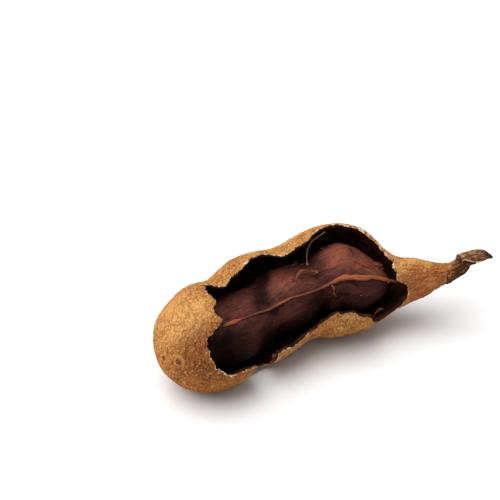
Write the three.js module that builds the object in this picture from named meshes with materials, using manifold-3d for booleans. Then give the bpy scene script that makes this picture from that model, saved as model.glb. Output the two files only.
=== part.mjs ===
// A ripe tamarind pod, broken open along its upper front side. It lies on its belly along +X, closed tip
// to the left and stalk to the right, with the opening towards -Y and up. Millimetres, +Z up, floor at z = 0.
//
// Every piece is a loft: rings of points round a bent spine. A place on a loft is (along, turn, out):
// millimetres along the spine, degrees round it from the front (-Y) through the top, and a radius.

import * as THREE from 'three';
import { TessellateModifier } from 'three/addons/modifiers/TessellateModifier.js';
import { mergeVertices } from 'three/addons/utils/BufferGeometryUtils.js';
import Module from 'manifold-3d';

const wasm = await Module();
wasm.setup();

// ---- driving dimensions ------------------------------------------------------------------------------

const WALL = 0.9; // thickness of the shell
const CLEAR = 0.4; // gap between neighbouring pieces
const WELD = 1e-4; // points closer than this are one

// The pod is a little wider than tall.
const POD = {
  wide: 1.03,
  tall: 0.95,
  reach: 9, // half the chord that turns each ring, which keeps rings from crowding inside a bend
  // Spine from the closed tip to the end of the neck.
  spine: [
    [-42.9, -9.5, 12], [-32.8, -5.2, 11.65], [-21.8, -1.4, 12], [-10.8, 1.6, 12.4], [0.2, 3, 12.9],
    [10.2, 1.4, 13.35], [18.7, -3.3, 12.5], [26.2, -5.3, 12.8], [32.8, -8, 14.1],
  ],
  // [distance from the tip, radius]: three swellings, then the neck.
  girth: [
    [0, 0], [0.3, 2.5], [1, 4.6], [2.4, 7], [4.6, 9.4], [7.6, 11.2], [11.5, 12.3], [15.5, 12.5],
    [19, 12.3], [23, 12.8], [27.5, 13.2], [32, 12.9], [37, 12.3], [41, 12.5], [45, 13.4], [49, 14.1],
    [53, 14.3], [56.5, 13.9], [59.5, 12.7], [62.5, 10.4], [65.5, 8], [68.5, 6.4], [71.5, 5.5], [74.3, 4.75],
    [76.6, 3.8], [78.4, 3.05], [80.2, 2.7],
  ],
  // Fuller places along its back: how far round their ridge is, and [distance from the tip, extra radius].
  backTurn: 145,
  back: [
    [0, 0], [3.5, 0], [8, 0.5], [12, 0.75], [16, 1.35], [18.5, 1.25], [21, 0.3], [23.5, 0], [26, 0.15],
    [28, 0.5], [30, 1], [32.5, 1.25], [35, 1.15], [38, 0.55], [41, 0.15], [44, 0], [81, 0],
  ],
  // Shallow dents and bulges, as two crossing waves: radians each millimetre, waves round, height.
  dents: [
    { perMm: 0.31, round: 2, start: 0, height: 0.16 },
    { perMm: 0.52, round: -3, start: 1, height: 0.112 },
  ],
  dented: 8, // they get shallower where the radius is under this
};

// The hollow closes inside the neck. It starts at the tip where its radius is over `narrowest`.
const HOLLOW_END = { from: 66, tail: [[68.5, 4.4], [71, 2.6], [72.5, 0]], narrowest: 0.5 };

// Broken edge of the opening: [distance from the tip, degrees round from the front].
const RIM = [
  [16, 105], [18.2, 108], [20, 94], [22, 98], [26, 102], [31, 109], [35, 108], [38.5, 93], [41.5, 96],
  [45.5, 97], [50.5, 113], [52, 118], [56, 119], [59.5, 117], [62.5, 111], [65, 95], [66.5, 91],
  [65.5, 72], [66.5, 55], [66.5, 39], [69.2, 27], [69.2, -4], [67.5, -36], [64.5, -42], [62, -35],
  [59.5, -10], [54.5, 0], [50, 3], [46, 6], [42.5, -1], [39, -12], [31.5, -14], [26, -12],
  [24.1, -15], [24.6, -32], [25.3, -54], [24, -59], [19.6, -60], [18.4, -38], [17.9, -22],
  [16.8, -17], [13, -9], [7.7, -6], [5.2, 8], [4.7, 29], [5.5, 48], [9, 53], [11, 60], [12, 75],
  [14, 83], [14.7, 96],
];
const TEETH = { step: 1.8, depth: 0.35, seed: 7 }; // crumbled teeth along that edge
// The plate that cuts the opening: its outline's scale, the share of the radius that it starts at, how far
// out of the skin it ends, and its longest triangle side, found in at most `splits` rounds.
const CUTTER = { mmPerDegree: 0.2, inside: 0.5, beyond: 2, side: 4, splits: 12 };
const UNDER_FLOOR = { long: 120, wide: 60, deep: 10 }; // block that flattens each swelling's underside

// Dried pulp. Its spine is set off the pod's: [along the pod, towards the front, up].
const PULP = {
  wide: 1,
  tall: 1,
  offsets: [
    [2.4, -0.8, -0.8], [7, -0.9, -1.2], [13, -1, -1.6], [21, -1, -2], [30, -1, -2.1], [38, -1, -2],
    [46, -1.4, -1.7], [53.5, -2.1, -0.8], [59, -0.8, -1.8], [63, -0.4, -1], [67, 0, -0.5],
  ],
  girth: [
    [0, 0], [0.4, 2.6], [2.2, 5.5], [5, 6.7], [9.5, 6], [14, 7.3], [18.5, 8.1], [22.5, 8.1], [26.5, 7.6],
    [30, 6.9], [33.5, 7.7], [37.5, 8.2], [41.5, 7.4], [44.8, 6.4], [48, 7.8], [51.5, 8.6], [55, 8.5],
    [58.5, 7.3], [61.5, 5], [64, 2.7], [65.5, 0],
  ],
  // Ridge under the main fibre: its turn at two distances along the pulp, its width in degrees.
  ridge: { from: 10, to: 50, turnFrom: 51, turnTo: 36, width: 20, height: 0.5 },
  wrinkles: [
    { perMm: 0.25, round: 5, start: 0, height: 0.16 },
    { perMm: -0.4, round: 9, start: 0, height: 0.1 },
  ],
  wrinkled: 6, // ridge and wrinkles get shallower where the radius is under this
};

// Where the main fibre lies on the pulp: [along the pulp's spine, degrees round, height over the pulp].
const MAIN_FIBRE = {
  wide: 1.25,
  tall: 0.8,
  route: [
    [10.5, 58, 0], [12.5, 57, 0], [15, 54, 0], [18, 51, 0], [22, 47.5, 0], [26.2, 43, 0], [30.5, 43, 0.2],
    [34, 42.5, 0], [37, 39, 0], [41, 36, 0.1], [45.3, 34.5, 0.5], [48.9, 34, 0.2], [52, 34, 0.3],
    [55, 37, 0.3], [58, 44, 0.2], [61, 50, 0.5], [64.2, 51, 1.2], [67, 51, 1.2],
  ],
  girth: [
    [0, 0], [0.4, 0.5], [8, 0.7], [16, 0.5], [27, 0.5], [36, 0.7], [47, 0.8], [54, 0.6], [58.6, 0.4],
    [59, 0],
  ],
};
const TORN_FIBRE = {
  wide: 1,
  tall: 1,
  route: [[38, 66, 0], [39.2, 71, 0.9], [40.7, 73, 1.5], [42.3, 70, 1.3], [43.8, 66, 0.6], [45, 67, 0]],
  girth: [[0, 0], [0.3, 0.32], [4, 0.42], [8.2, 0.35], [8.6, 0]],
};
// The wall fibre hangs in the hollow: [along the pod, degrees round, distance inside the outer skin].
const WALL_FIBRE = {
  wide: 1,
  tall: 1,
  route: [
    [50.8, 112, 1.6], [49, 109, 1.9], [47.1, 105, 2.1], [45.6, 99, 3], [44.6, 91, 4.2], [44.2, 84, 5.6],
  ],
  girth: [[0, 0], [0.3, 0.3], [5, 0.36], [9.4, 0.32], [9.8, 0]],
};

// Woody stalk. Its first ring faces the end of the neck.
const STEM = {
  wide: 1.02,
  tall: 1,
  spine: [
    [33.16, -8.15, 14.17], [33.75, -8.4, 14.32], [34.9, -8.8, 14.9], [36.6, -9, 15.7], [38.9, -9.2, 16.5],
  ],
  girth: [[0, 0], [0.01, 2.3], [1.8, 2.2], [3.2, 2.1], [4.2, 1.8], [5.2, 1.2], [6.3, 0]],
};
// The split end: a tongue of wood that outlasts the broken stalk, and a shorter splinter below it.
const TONGUE = {
  wide: 0.9,
  tall: 1.05,
  spine: [
    [36.4, -8.5, 17.3], [37.6, -8.7, 17.6], [38.9, -9.1, 17.75], [40.5, -9.6, 17.85], [42.1, -10.2, 17.85],
    [43.8, -11.2, 17.5],
  ],
  girth: [[0, 0], [0.2, 0.75], [1.6, 1.2], [3.2, 1.5], [4.8, 1.6], [6, 1.25], [7.2, 0.8], [8.2, 0]],
};
const SPLINTER = {
  wide: 1,
  tall: 0.7,
  spine: [[35.9, -9.1, 16.5], [37.2, -9.6, 16.6], [38.4, -9.9, 16.5], [39.8, -10.2, 16.3]],
  girth: [[0, 0], [0.3, 0.9], [1.8, 0.95], [3, 0.6], [4.2, 0]],
};
const KNOB = { at: [36.1, -7.9, 17.7], radius: 0.75, height: 2, sides: 7 }; // stub of a side twig
const BARK = [{ perMm: 0.5, round: 5, start: 0, height: 0.1 }]; // ribs along the stalk

// [rings along, points round] of each loft.
const RINGS = {
  shell: [62, 40],
  hollow: [48, 30],
  pulp: [58, 30],
  fibreMain: [64, 8],
  fibreTorn: [18, 8],
  fibreWall: [16, 8],
  stem: [18, 16],
  tongue: [16, 12],
  splinter: [10, 10],
};
// Steps in which a smooth line is measured.
const STEPS = { spine: 800, podProfile: 400, pulpProfile: 300 };

const FINISH = {
  shell: { color: 0xb98450, roughness: 0.85 },
  pulp: { color: 0x4a241c, roughness: 0.55 },
  fibre: { color: 0x7c4a2c, roughness: 0.7 },
  paleFibre: { color: 0xa0774c, roughness: 0.7 },
  stem: { color: 0x5a3c2a, roughness: 0.9 },
};

// ---- lofts -------------------------------------------------------------------------------------------

const UP = new THREE.Vector3(0, 0, 1);

/** A bent line that carries a ring at each distance along it, square to the chord round its place. */
class Spine {
  constructor(points, reach = 0.5) {
    this.curve = new THREE.CatmullRomCurve3(points, false, 'catmullrom', 0.5);
    this.curve.arcLengthDivisions = STEPS.spine;
    this.length = this.curve.getLength();
    this.reach = reach;
  }

  /** The point at a distance along the line, which runs straight on past its ends. */
  point(along) {
    const share = THREE.MathUtils.clamp(along / this.length, 0, 1);
    const beyond = along - share * this.length;
    return this.curve.getPointAt(share).addScaledVector(this.curve.getTangentAt(share), beyond);
  }

  /** Centre, front and up directions of the ring at a distance along the line. */
  frame(along) {
    const centre = this.point(along);
    const ahead = this.point(along + this.reach).sub(this.point(along - this.reach)).normalize();
    const front = ahead.clone().cross(UP).normalize();
    const up = front.clone().cross(ahead);
    return { centre, front, up };
  }
}

/** The point at (along, turn, out) round a spine, on a section that is wide by tall. */
function place(spine, { wide, tall }, along, turn, out) {
  const { centre, front, up } = spine.frame(along);
  const angle = THREE.MathUtils.degToRad(turn);
  return centre
    .addScaledVector(front, out * wide * Math.cos(angle))
    .addScaledVector(up, out * tall * Math.sin(angle));
}

/** [along, radius] pairs, evenly spread over a smooth profile through the given ones. */
function profile(girth, steps) {
  const curve = new THREE.SplineCurve(girth.map(([x, y]) => new THREE.Vector2(x, y)));
  return curve.getPoints(steps).map((p) => [Math.max(p.x, 0), Math.max(p.y, 0)]);
}

/** Radius of a profile at one distance along it. */
function radiusAt(stations, along) {
  const next = stations.findIndex(([x]) => x > along);
  if (next < 1) return 0;
  const [x0, r0] = stations[next - 1];
  const [x1, r1] = stations[next];
  return THREE.MathUtils.mapLinear(along, x0, x1, r0, r1);
}

/**
 * Closed geometry of rings round a spine. `stations` holds [along, radius] for each ring, and the first and
 * the last of them are closed with a point on the spine. `swell` gives extra radius at (along, turn).
 */
function loft(spine, section, stations, sides, swell = () => 0) {
  const rings = stations.filter(([, radius]) => radius > 0);
  const first = stations[0][0];
  const last = stations[stations.length - 1][0];
  const points = [spine.frame(first).centre];
  for (const [along, radius] of rings) {
    for (let side = 0; side < sides; side++) {
      const turn = (360 * side) / sides;
      points.push(place(spine, section, along, turn, radius + swell(along, turn)));
    }
  }
  points.push(spine.frame(last).centre);

  const index = [];
  const end = points.length - 1;
  const at = (ring, side) => 1 + ring * sides + (side % sides);
  for (let side = 0; side < sides; side++) {
    index.push(0, at(0, side), at(0, side + 1));
    index.push(end, at(rings.length - 1, side + 1), at(rings.length - 1, side));
    for (let ring = 0; ring + 1 < rings.length; ring++) {
      index.push(at(ring, side), at(ring + 1, side), at(ring + 1, side + 1));
      index.push(at(ring, side), at(ring + 1, side + 1), at(ring, side + 1));
    }
  }
  return new THREE.BufferGeometry().setFromPoints(points).setIndex(index);
}

// ---- solids ------------------------------------------------------------------------------------------

/** The manifold solid inside a closed geometry. */
function solid(geometry) {
  geometry.deleteAttribute('normal');
  geometry.deleteAttribute('uv');
  const { attributes, index } = mergeVertices(geometry, WELD);
  return new wasm.Manifold(new wasm.Mesh({
    numProp: 3,
    vertProperties: attributes.position.array,
    triVerts: new Uint32Array(index.array),
  }));
}

/** The geometry of a manifold solid. */
function geometryOf(body) {
  const { vertProperties, triVerts } = body.getMesh();
  const geometry = new THREE.BufferGeometry();
  geometry.setAttribute('position', new THREE.BufferAttribute(vertProperties, 3));
  geometry.setIndex(new THREE.BufferAttribute(triVerts, 1));
  return geometry;
}

/** Numbers from -1 to 1 that repeat for the same seed. */
function wobble(seed) {
  const factor = 16807;
  const modulus = 2147483647;
  let state = seed;
  return () => {
    state = (state * factor) % modulus;
    return (2 * state) / modulus - 1;
  };
}

/** Sum of sine waves over a loft at (along, turn). */
function waves(list, along, turn) {
  const angle = THREE.MathUtils.degToRad(turn);
  return list.reduce(
    (sum, { perMm, round, start, height }) => sum + height * Math.sin(perMm * along + round * angle + start),
    0,
  );
}

// ---- shell -------------------------------------------------------------------------------------------

const toVectors = (points) => points.map(([x, y, z]) => new THREE.Vector3(x, y, z));
const podSpine = new Spine(toVectors(POD.spine), POD.reach);
const podGirth = profile(POD.girth, STEPS.podProfile);
const podBack = profile(POD.back, STEPS.podProfile);

/** Shallow dents and bulges of the skin, fading towards the belly that it rests on, and its fuller back. */
function podSwell(along, turn) {
  const fade = (1 + Math.sin(THREE.MathUtils.degToRad(turn))) / 2;
  const depth = Math.min(1, radiusAt(podGirth, along) / POD.dented);
  const behind = Math.max(0, Math.cos(THREE.MathUtils.degToRad(turn - POD.backTurn)));
  return waves(POD.dents, along, turn) * fade * depth + radiusAt(podBack, along) * behind ** 3;
}

/** Profile of the hollow: the outer one, moved in by the wall, closed inside the neck. */
function hollowProfile(steps) {
  const outer = profile(POD.girth, steps);
  const inner = [[WALL, 0]];
  for (let k = 1; k + 1 < outer.length; k++) {
    const slope = new THREE.Vector2(outer[k + 1][0] - outer[k - 1][0], outer[k + 1][1] - outer[k - 1][1]);
    slope.normalize().multiplyScalar(WALL);
    const along = outer[k][0] + slope.y;
    const radius = outer[k][1] - slope.x;
    if (along > inner[inner.length - 1][0] && along < HOLLOW_END.from && radius > HOLLOW_END.narrowest) {
      inner.push([along, radius]);
    }
  }
  return inner.concat(HOLLOW_END.tail);
}

/** The rim as an outline of (mm along, mm round at a mean radius), with seeded teeth between its points. */
function rimOutline(mmPerDegree) {
  const random = wobble(TEETH.seed);
  const outline = [];
  RIM.forEach(([along, turn], k) => {
    const [nextAlong, nextTurn] = RIM[(k + 1) % RIM.length];
    const from = new THREE.Vector2(along, turn * mmPerDegree);
    const to = new THREE.Vector2(nextAlong, nextTurn * mmPerDegree);
    const pieces = Math.max(1, Math.round(from.distanceTo(to) / TEETH.step));
    const across = to.clone().sub(from).rotateAround(new THREE.Vector2(), Math.PI / 2).normalize();
    outline.push(from);
    for (let piece = 1; piece < pieces; piece++) {
      const point = from.clone().lerp(to, piece / pieces);
      outline.push(point.addScaledVector(across, TEETH.depth * random()));
    }
  });
  return outline;
}

/** A curved plate with the rim's outline that passes through the wall, to cut the opening. */
function openingCutter() {
  const { mmPerDegree, inside, beyond } = CUTTER;
  const depth = 1;
  const plate = new THREE.ExtrudeGeometry(new THREE.Shape(rimOutline(mmPerDegree)), {
    depth,
    bevelEnabled: false,
    steps: 1,
  });
  const fine = new TessellateModifier(CUTTER.side, CUTTER.splits).modify(plate);
  const position = fine.getAttribute('position');
  for (let k = 0; k < position.count; k++) {
    const along = position.getX(k);
    const radius = radiusAt(podGirth, along);
    const out = position.getZ(k) < depth / 2 ? inside * radius : radius + beyond;
    const point = place(podSpine, POD, along, position.getY(k) / mmPerDegree, out);
    position.setXYZ(k, point.x, point.y, point.z);
  }
  return solid(fine);
}

/** The block under the floor, which leaves a small flat spot under each swelling. */
function underFloor() {
  const { long, wide, deep } = UNDER_FLOOR;
  const block = new THREE.BoxGeometry(long, wide, deep);
  block.translate(0, 0, -deep / 2);
  return solid(block);
}

function shell() {
  const [rings, sides] = RINGS.shell;
  const [innerRings, innerSides] = RINGS.hollow;
  const outer = solid(loft(podSpine, POD, profile(POD.girth, rings), sides, podSwell));
  const inner = solid(loft(podSpine, POD, hollowProfile(innerRings), innerSides, podSwell));
  return outer.subtract(inner).subtract(openingCutter()).subtract(underFloor());
}

// ---- pulp and fibres ---------------------------------------------------------------------------------

const pulpSpine = new Spine(PULP.offsets.map(([along, toFront, toTop]) => {
  const { centre, front, up } = podSpine.frame(along);
  return centre.addScaledVector(front, toFront).addScaledVector(up, toTop);
}), POD.reach);
const pulpGirth = profile(PULP.girth, STEPS.pulpProfile);

/** Ridge under the main fibre and shallow wrinkles along the pulp. */
function pulpSwell(along, turn) {
  const { from, to, turnFrom, turnTo, width, height } = PULP.ridge;
  const fromRidge = (turn - THREE.MathUtils.mapLinear(along, from, to, turnFrom, turnTo)) / width;
  const ridge = height * Math.exp(-fromRidge * fromRidge);
  const depth = Math.min(1, radiusAt(pulpGirth, along) / PULP.wrinkled);
  return (ridge + waves(PULP.wrinkles, along, turn)) * depth;
}

function pulp() {
  const [rings, sides] = RINGS.pulp;
  return solid(loft(pulpSpine, PULP, profile(PULP.girth, rings), sides, pulpSwell));
}

/** A tapered strand that is round its own route of points. */
function strand(points, dimensions, [rings, sides]) {
  const spine = new Spine(points);
  const ends = dimensions.girth[dimensions.girth.length - 1][0];
  const girth = dimensions.girth.map(([along, radius]) => [(along * spine.length) / ends, radius]);
  return solid(loft(spine, dimensions, profile(girth, rings), sides));
}

/** A strand on the pulp's surface, clear of it by the gap. */
function strandOnPulp(dimensions, detail) {
  const thickest = Math.max(...dimensions.girth.map(([, radius]) => radius));
  const points = dimensions.route.map(([along, turn, height]) => {
    const out = radiusAt(pulpGirth, along) + pulpSwell(along, turn) + CLEAR + thickest + height;
    return place(pulpSpine, PULP, along, turn, out);
  });
  return strand(points, dimensions, detail);
}

function wallFibre() {
  const points = WALL_FIBRE.route.map(([along, turn, inside]) =>
    place(podSpine, POD, along, turn, radiusAt(podGirth, along) - inside));
  return strand(points, WALL_FIBRE, RINGS.fibreWall);
}

// ---- stem --------------------------------------------------------------------------------------------

const barkSwell = (along, turn) => waves(BARK, along, turn);

function stem() {
  const piece = (dimensions, [rings, sides]) => {
    const spine = new Spine(toVectors(dimensions.spine));
    return solid(loft(spine, dimensions, profile(dimensions.girth, rings), sides, barkSwell));
  };
  const knob = new THREE.ConeGeometry(KNOB.radius, KNOB.height, KNOB.sides);
  knob.rotateX(Math.PI / 2).translate(...KNOB.at);
  return piece(STEM, RINGS.stem)
    .add(piece(TONGUE, RINGS.tongue))
    .add(piece(SPLINTER, RINGS.splinter))
    .add(solid(knob));
}

// ---- the pod -----------------------------------------------------------------------------------------

function mesh(name, body, finish) {
  const made = new THREE.Mesh(geometryOf(body), new THREE.MeshStandardMaterial(finish));
  made.name = name;
  return made;
}

const pod = new THREE.Group();
pod.name = 'tamarind_pod';
pod.add(
  mesh('shell', shell(), FINISH.shell),
  mesh('pulp', pulp(), FINISH.pulp),
  mesh('fibre_main', strandOnPulp(MAIN_FIBRE, RINGS.fibreMain), FINISH.fibre),
  mesh('fibre_torn', strandOnPulp(TORN_FIBRE, RINGS.fibreTorn), FINISH.fibre),
  mesh('fibre_wall', wallFibre(), FINISH.paleFibre),
  mesh('stem', stem(), FINISH.stem),
);

export default pod;
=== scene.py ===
"""A ripe tamarind pod, broken open along its upper front side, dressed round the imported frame.

Shapes are worked out in millimetres, in the frame of the part, and become metres when a mesh is made.
Every piece is a loft: rings round a bent spine. A place on a loft is (along, turn, out): millimetres
along the spine, degrees round it from the front (-Y) through the top, and a radius.
"""
import logging
import math
from collections.abc import Callable, Mapping, Sequence
from dataclasses import dataclass, replace
from enum import Enum, IntEnum
from typing import Any

import bmesh
import bpy
import numpy as np
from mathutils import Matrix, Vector, geometry


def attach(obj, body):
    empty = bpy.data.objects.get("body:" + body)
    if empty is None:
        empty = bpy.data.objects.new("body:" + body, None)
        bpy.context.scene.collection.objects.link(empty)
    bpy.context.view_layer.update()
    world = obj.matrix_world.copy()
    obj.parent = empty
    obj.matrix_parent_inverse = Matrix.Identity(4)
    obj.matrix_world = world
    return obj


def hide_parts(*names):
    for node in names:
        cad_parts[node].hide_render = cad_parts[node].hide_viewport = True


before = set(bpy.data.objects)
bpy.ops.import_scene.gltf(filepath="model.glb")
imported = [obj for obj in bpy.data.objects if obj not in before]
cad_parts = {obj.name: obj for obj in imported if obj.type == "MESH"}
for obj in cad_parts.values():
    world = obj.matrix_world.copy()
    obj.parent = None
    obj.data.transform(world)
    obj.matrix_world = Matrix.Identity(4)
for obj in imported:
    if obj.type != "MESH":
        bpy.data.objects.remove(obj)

log = logging.getLogger("tamarind")

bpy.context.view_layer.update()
MM = 0.001  # metres in a millimetre
ROOT = "root"  # the part's one body

Colour = tuple[float, float, float]
Pair = tuple[float, float]
Triple = tuple[float, float, float]
Swell = Callable[[np.ndarray, np.ndarray], np.ndarray]
Inputs = Mapping[str | int, Any]


# ---- node graphs -------------------------------------------------------------------------------------


class Cells(Enum):
    """What a pattern of rounded cells gives: the kind of pattern, and the node's output."""

    TO_EDGE = ("DISTANCE_TO_EDGE", 0)  # distance to the edge of the place's own cell
    OWN = ("F1", 1)  # a random value for each cell


class Graph:
    """A node tree, of a material or of a modifier, that nodes are added to."""

    def __init__(self, tree: bpy.types.NodeTree) -> None:
        """Starts on an empty or a new tree."""
        self.tree = tree

    def node(self, kind: str, settings: Mapping[str, Any], inputs: Inputs) -> bpy.types.Node:
        """Adds one node.

        Args:
            kind: the node's type.
            settings: its properties, which are set before its inputs.
            inputs: a value, or a Link to another node, for each socket by name or number.

        Returns:
            The new node.
        """
        made = self.tree.nodes.new(kind)
        for name, setting in settings.items():
            setattr(made, name, setting)
        for name, source in inputs.items():
            if isinstance(source, Link):
                self.tree.links.new(source.socket, made.inputs[name])
            else:
                made.inputs[name].default_value = source
        return made

    def value(self, kind: str, output: int | str, settings: Mapping[str, Any], inputs: Inputs) -> "Value":
        """Adds a node, as node() does, and returns one of its outputs as a number."""
        return Value(self, self.node(kind, settings, inputs).outputs[output])

    def vector(self, kind: str, output: int | str, settings: Mapping[str, Any],
               inputs: Inputs) -> "Direction":
        """Adds a node, as node() does, and returns one of its outputs as a vector."""
        return Direction(self, self.node(kind, settings, inputs).outputs[output])


@dataclass(frozen=True)
class Link:
    """An output socket of a graph."""

    graph: Graph
    socket: bpy.types.NodeSocket


class Value(Link):
    """A single number that changes over a surface. Operators on it add Math nodes."""

    def _math(self, operation: str, *operands: Any) -> "Value":
        """The result of a Math node on the operands in order."""
        return self.graph.value("ShaderNodeMath", 0, {"operation": operation}, dict(enumerate(operands)))

    def __add__(self, other: Any) -> "Value":
        """self + other."""
        return self._math("ADD", self, other)

    def __sub__(self, other: Any) -> "Value":
        """self - other."""
        return self._math("SUBTRACT", self, other)

    def __rsub__(self, other: Any) -> "Value":
        """other - self."""
        return self._math("SUBTRACT", other, self)

    def __mul__(self, other: Any) -> "Value":
        """self * other."""
        return self._math("MULTIPLY", self, other)

    __radd__ = __add__
    __rmul__ = __mul__

    def __abs__(self) -> "Value":
        """The size of self without its sign."""
        return self._math("ABSOLUTE", self)

    def wave(self) -> "Value":
        """A sine wave that repeats when self grows by 1."""
        return self._math("SINE", self * (2 * math.pi))

    def most(self, other: Any) -> "Value":
        """The larger of self and other."""
        return self._math("MAXIMUM", self, other)

    def rise(self, low: float, high: float) -> "Value":
        """A smooth step from 0 at low to 1 at high; a step down where high is below low."""
        inputs = {"Value": self, "From Min": low, "From Max": high}
        return self.graph.value("ShaderNodeMapRange", 0, {"interpolation_type": "SMOOTHSTEP"}, inputs)

    def mix(self, low: Any, high: Any) -> "Tint":
        """Mixes two colours, where self is the share of the second.

        Args:
            low: the colour at 0, as numbers or a Tint.
            high: the colour at 1.

        Returns:
            The mixed colour.
        """
        first, second = (end if isinstance(end, Link) else (*end, 1.0) for end in (low, high))
        made = self.graph.node("ShaderNodeMix", {"data_type": "RGBA"}, {0: self, 6: first, 7: second})
        return Tint(self.graph, made.outputs[2])


class Direction(Link):
    """A vector that changes over a surface. Operators on it add Vector Math nodes."""

    def _math(self, operation: str, inputs: Inputs) -> "Direction":
        """The vector result of a Vector Math node."""
        return self.graph.vector("ShaderNodeVectorMath", 0, {"operation": operation}, inputs)

    def __add__(self, other: Any) -> "Direction":
        """self + other."""
        return self._math("ADD", {0: self, 1: other})

    def __sub__(self, other: Any) -> "Direction":
        """self - other."""
        return self._math("SUBTRACT", {0: self, 1: other})

    def __mul__(self, other: float | Value) -> "Direction":
        """self * other, a number."""
        return self._math("SCALE", {0: self, "Scale": other})

    def scaled(self, along: float) -> "Direction":
        """self with its first part scaled, which draws a pattern out that way where it is under 1."""
        return self._math("MULTIPLY", {0: self, 1: (along, 1.0, 1.0)})

    def part(self, axis: int) -> Value:
        """One part of the vector: 0, 1 or 2."""
        return self.graph.value("ShaderNodeSeparateXYZ", axis, {}, {0: self})

    def measure(self, operation: str, other: Triple) -> Value:
        """A number worked out from self and a fixed vector, such as their "DISTANCE"."""
        inputs = {0: self, 1: other}
        return self.graph.value("ShaderNodeVectorMath", "Value", {"operation": operation}, inputs)

    def cells(self, size: float, what: Cells) -> Value:
        """A pattern of cells of a size in millimetres, where a distance of 1 is one cell's size."""
        inputs = {"Vector": self, "Scale": 1.0 / size}
        return self.graph.value("ShaderNodeTexVoronoi", what.value[1], {"feature": what.value[0]}, inputs)


class Tint(Link):
    """A colour that changes over a surface."""

    def towards(self, other: Any, share: Value) -> "Tint":
        """This colour mixed with another by a share from 0 to 1."""
        return share.mix(self, other)


# ---- patterns ----------------------------------------------------------------------------------------


@dataclass(frozen=True)
class Blobs:
    """Soft random blobs over a surface."""

    size: float  # millimetres across one
    detail: float = 2.0  # how many finer layers they have
    roughness: float = 0.5  # how strong the finer layers are
    along: float = 1.0  # scale along the piece, which draws them out where it is under 1

    def at(self, place: Direction) -> Value:
        """Their value at a place in millimetres, from 0 to 1."""
        inputs = {"Vector": place.scaled(self.along), "Scale": 1 / self.size,
                  "Detail": self.detail, "Roughness": self.roughness}
        return place.graph.value("ShaderNodeTexNoise", 0, {}, inputs)


@dataclass(frozen=True)
class Sway:
    """Moves places about at random, which makes a regular pattern meander."""

    size: float  # millimetres across one sway
    reach: float  # how far a place moves at most, in millimetres

    def of(self, place: Direction) -> Direction:
        """Where a place in millimetres moves to."""
        sway = place.graph.vector("ShaderNodeTexNoise", 1, {}, {
            "Vector": place, "Scale": 1 / self.size, "Detail": 1.0})
        return place + (sway - (0.5, 0.5, 0.5)) * (2.0 * self.reach)


@dataclass(frozen=True)
class Step:
    """A smooth step of a pattern: where a colour starts to show, and how strongly it does at most."""

    start: float
    full: float  # a step down where this is below the start
    strength: float = 1.0

    def of(self, pattern: Value) -> Value:
        """The step at a pattern's value, from 0 to its strength."""
        return pattern.rise(self.start, self.full) * self.strength


@dataclass(frozen=True)
class Spot:
    """A round patch that fades out from its middle."""

    middle: Triple
    reach: float  # it ends this far out
    full: float  # and is whole up to here
    strength: float = 1.0

    def at(self, place: Direction) -> Value:
        """How strongly a place is in the patch, from 0 to the patch's strength."""
        return place.measure("DISTANCE", self.middle).rise(self.reach, self.full) * self.strength


# ---- finishes ----------------------------------------------------------------------------------------

GRAIN = "grain"  # mesh attribute: the place on a loft that is bent straight, in millimetres


@dataclass(frozen=True)
class Finish:
    """A procedural material. A subclass paints it in paint()."""

    name: str
    gloss: float  # specular level

    def material(self) -> bpy.types.Material:
        """The material, made the first time it is asked for.

        Returns:
            The material.
        """
        known = bpy.data.materials.get(self.name)
        if known:
            return known
        made = bpy.data.materials.new(self.name)
        made.use_nodes = True
        made.node_tree.nodes.clear()
        graph = Graph(made.node_tree)
        place = graph.vector("ShaderNodeTexCoord", "Object", {}, {}) * (1 / MM)
        grain = graph.vector("ShaderNodeAttribute", "Vector", {"attribute_name": GRAIN}, {})
        tint, roughness, height = self.paint(place, grain)
        bump = graph.vector("ShaderNodeBump", 0, {}, {"Height": height, "Distance": MM, "Strength": 1.0})
        skin = graph.node("ShaderNodeBsdfPrincipled", {}, {
            "Base Color": tint,
            "Roughness": roughness,
            "Normal": bump,
            "Specular IOR Level": self.gloss,
        })
        graph.node("ShaderNodeOutputMaterial", {}, {"Surface": Link(graph, skin.outputs[0])})
        return made

    def paint(self, place: Direction, grain: Direction) -> tuple[Tint, Value, Value]:
        """Paints the surface.

        Args:
            place: the place on the object, in millimetres.
            grain: the place on the straightened loft, in millimetres.

        Returns:
            The colour, the roughness and the height in millimetres.
        """
        raise NotImplementedError


END_MIDDLE = 10.0  # the middle of the pod's end is this far in front of y = 0, in millimetres
END_LEAN = 1.2  # millimetres that the end runs on along X for each millimetre towards the back


def towards_stalk(place: Direction) -> Value:
    """How far a place is along the pod's end, which is cut off askew: further on at its back."""
    return place.part(0) - (place.part(1) + END_MIDDLE) * END_LEAN


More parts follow.
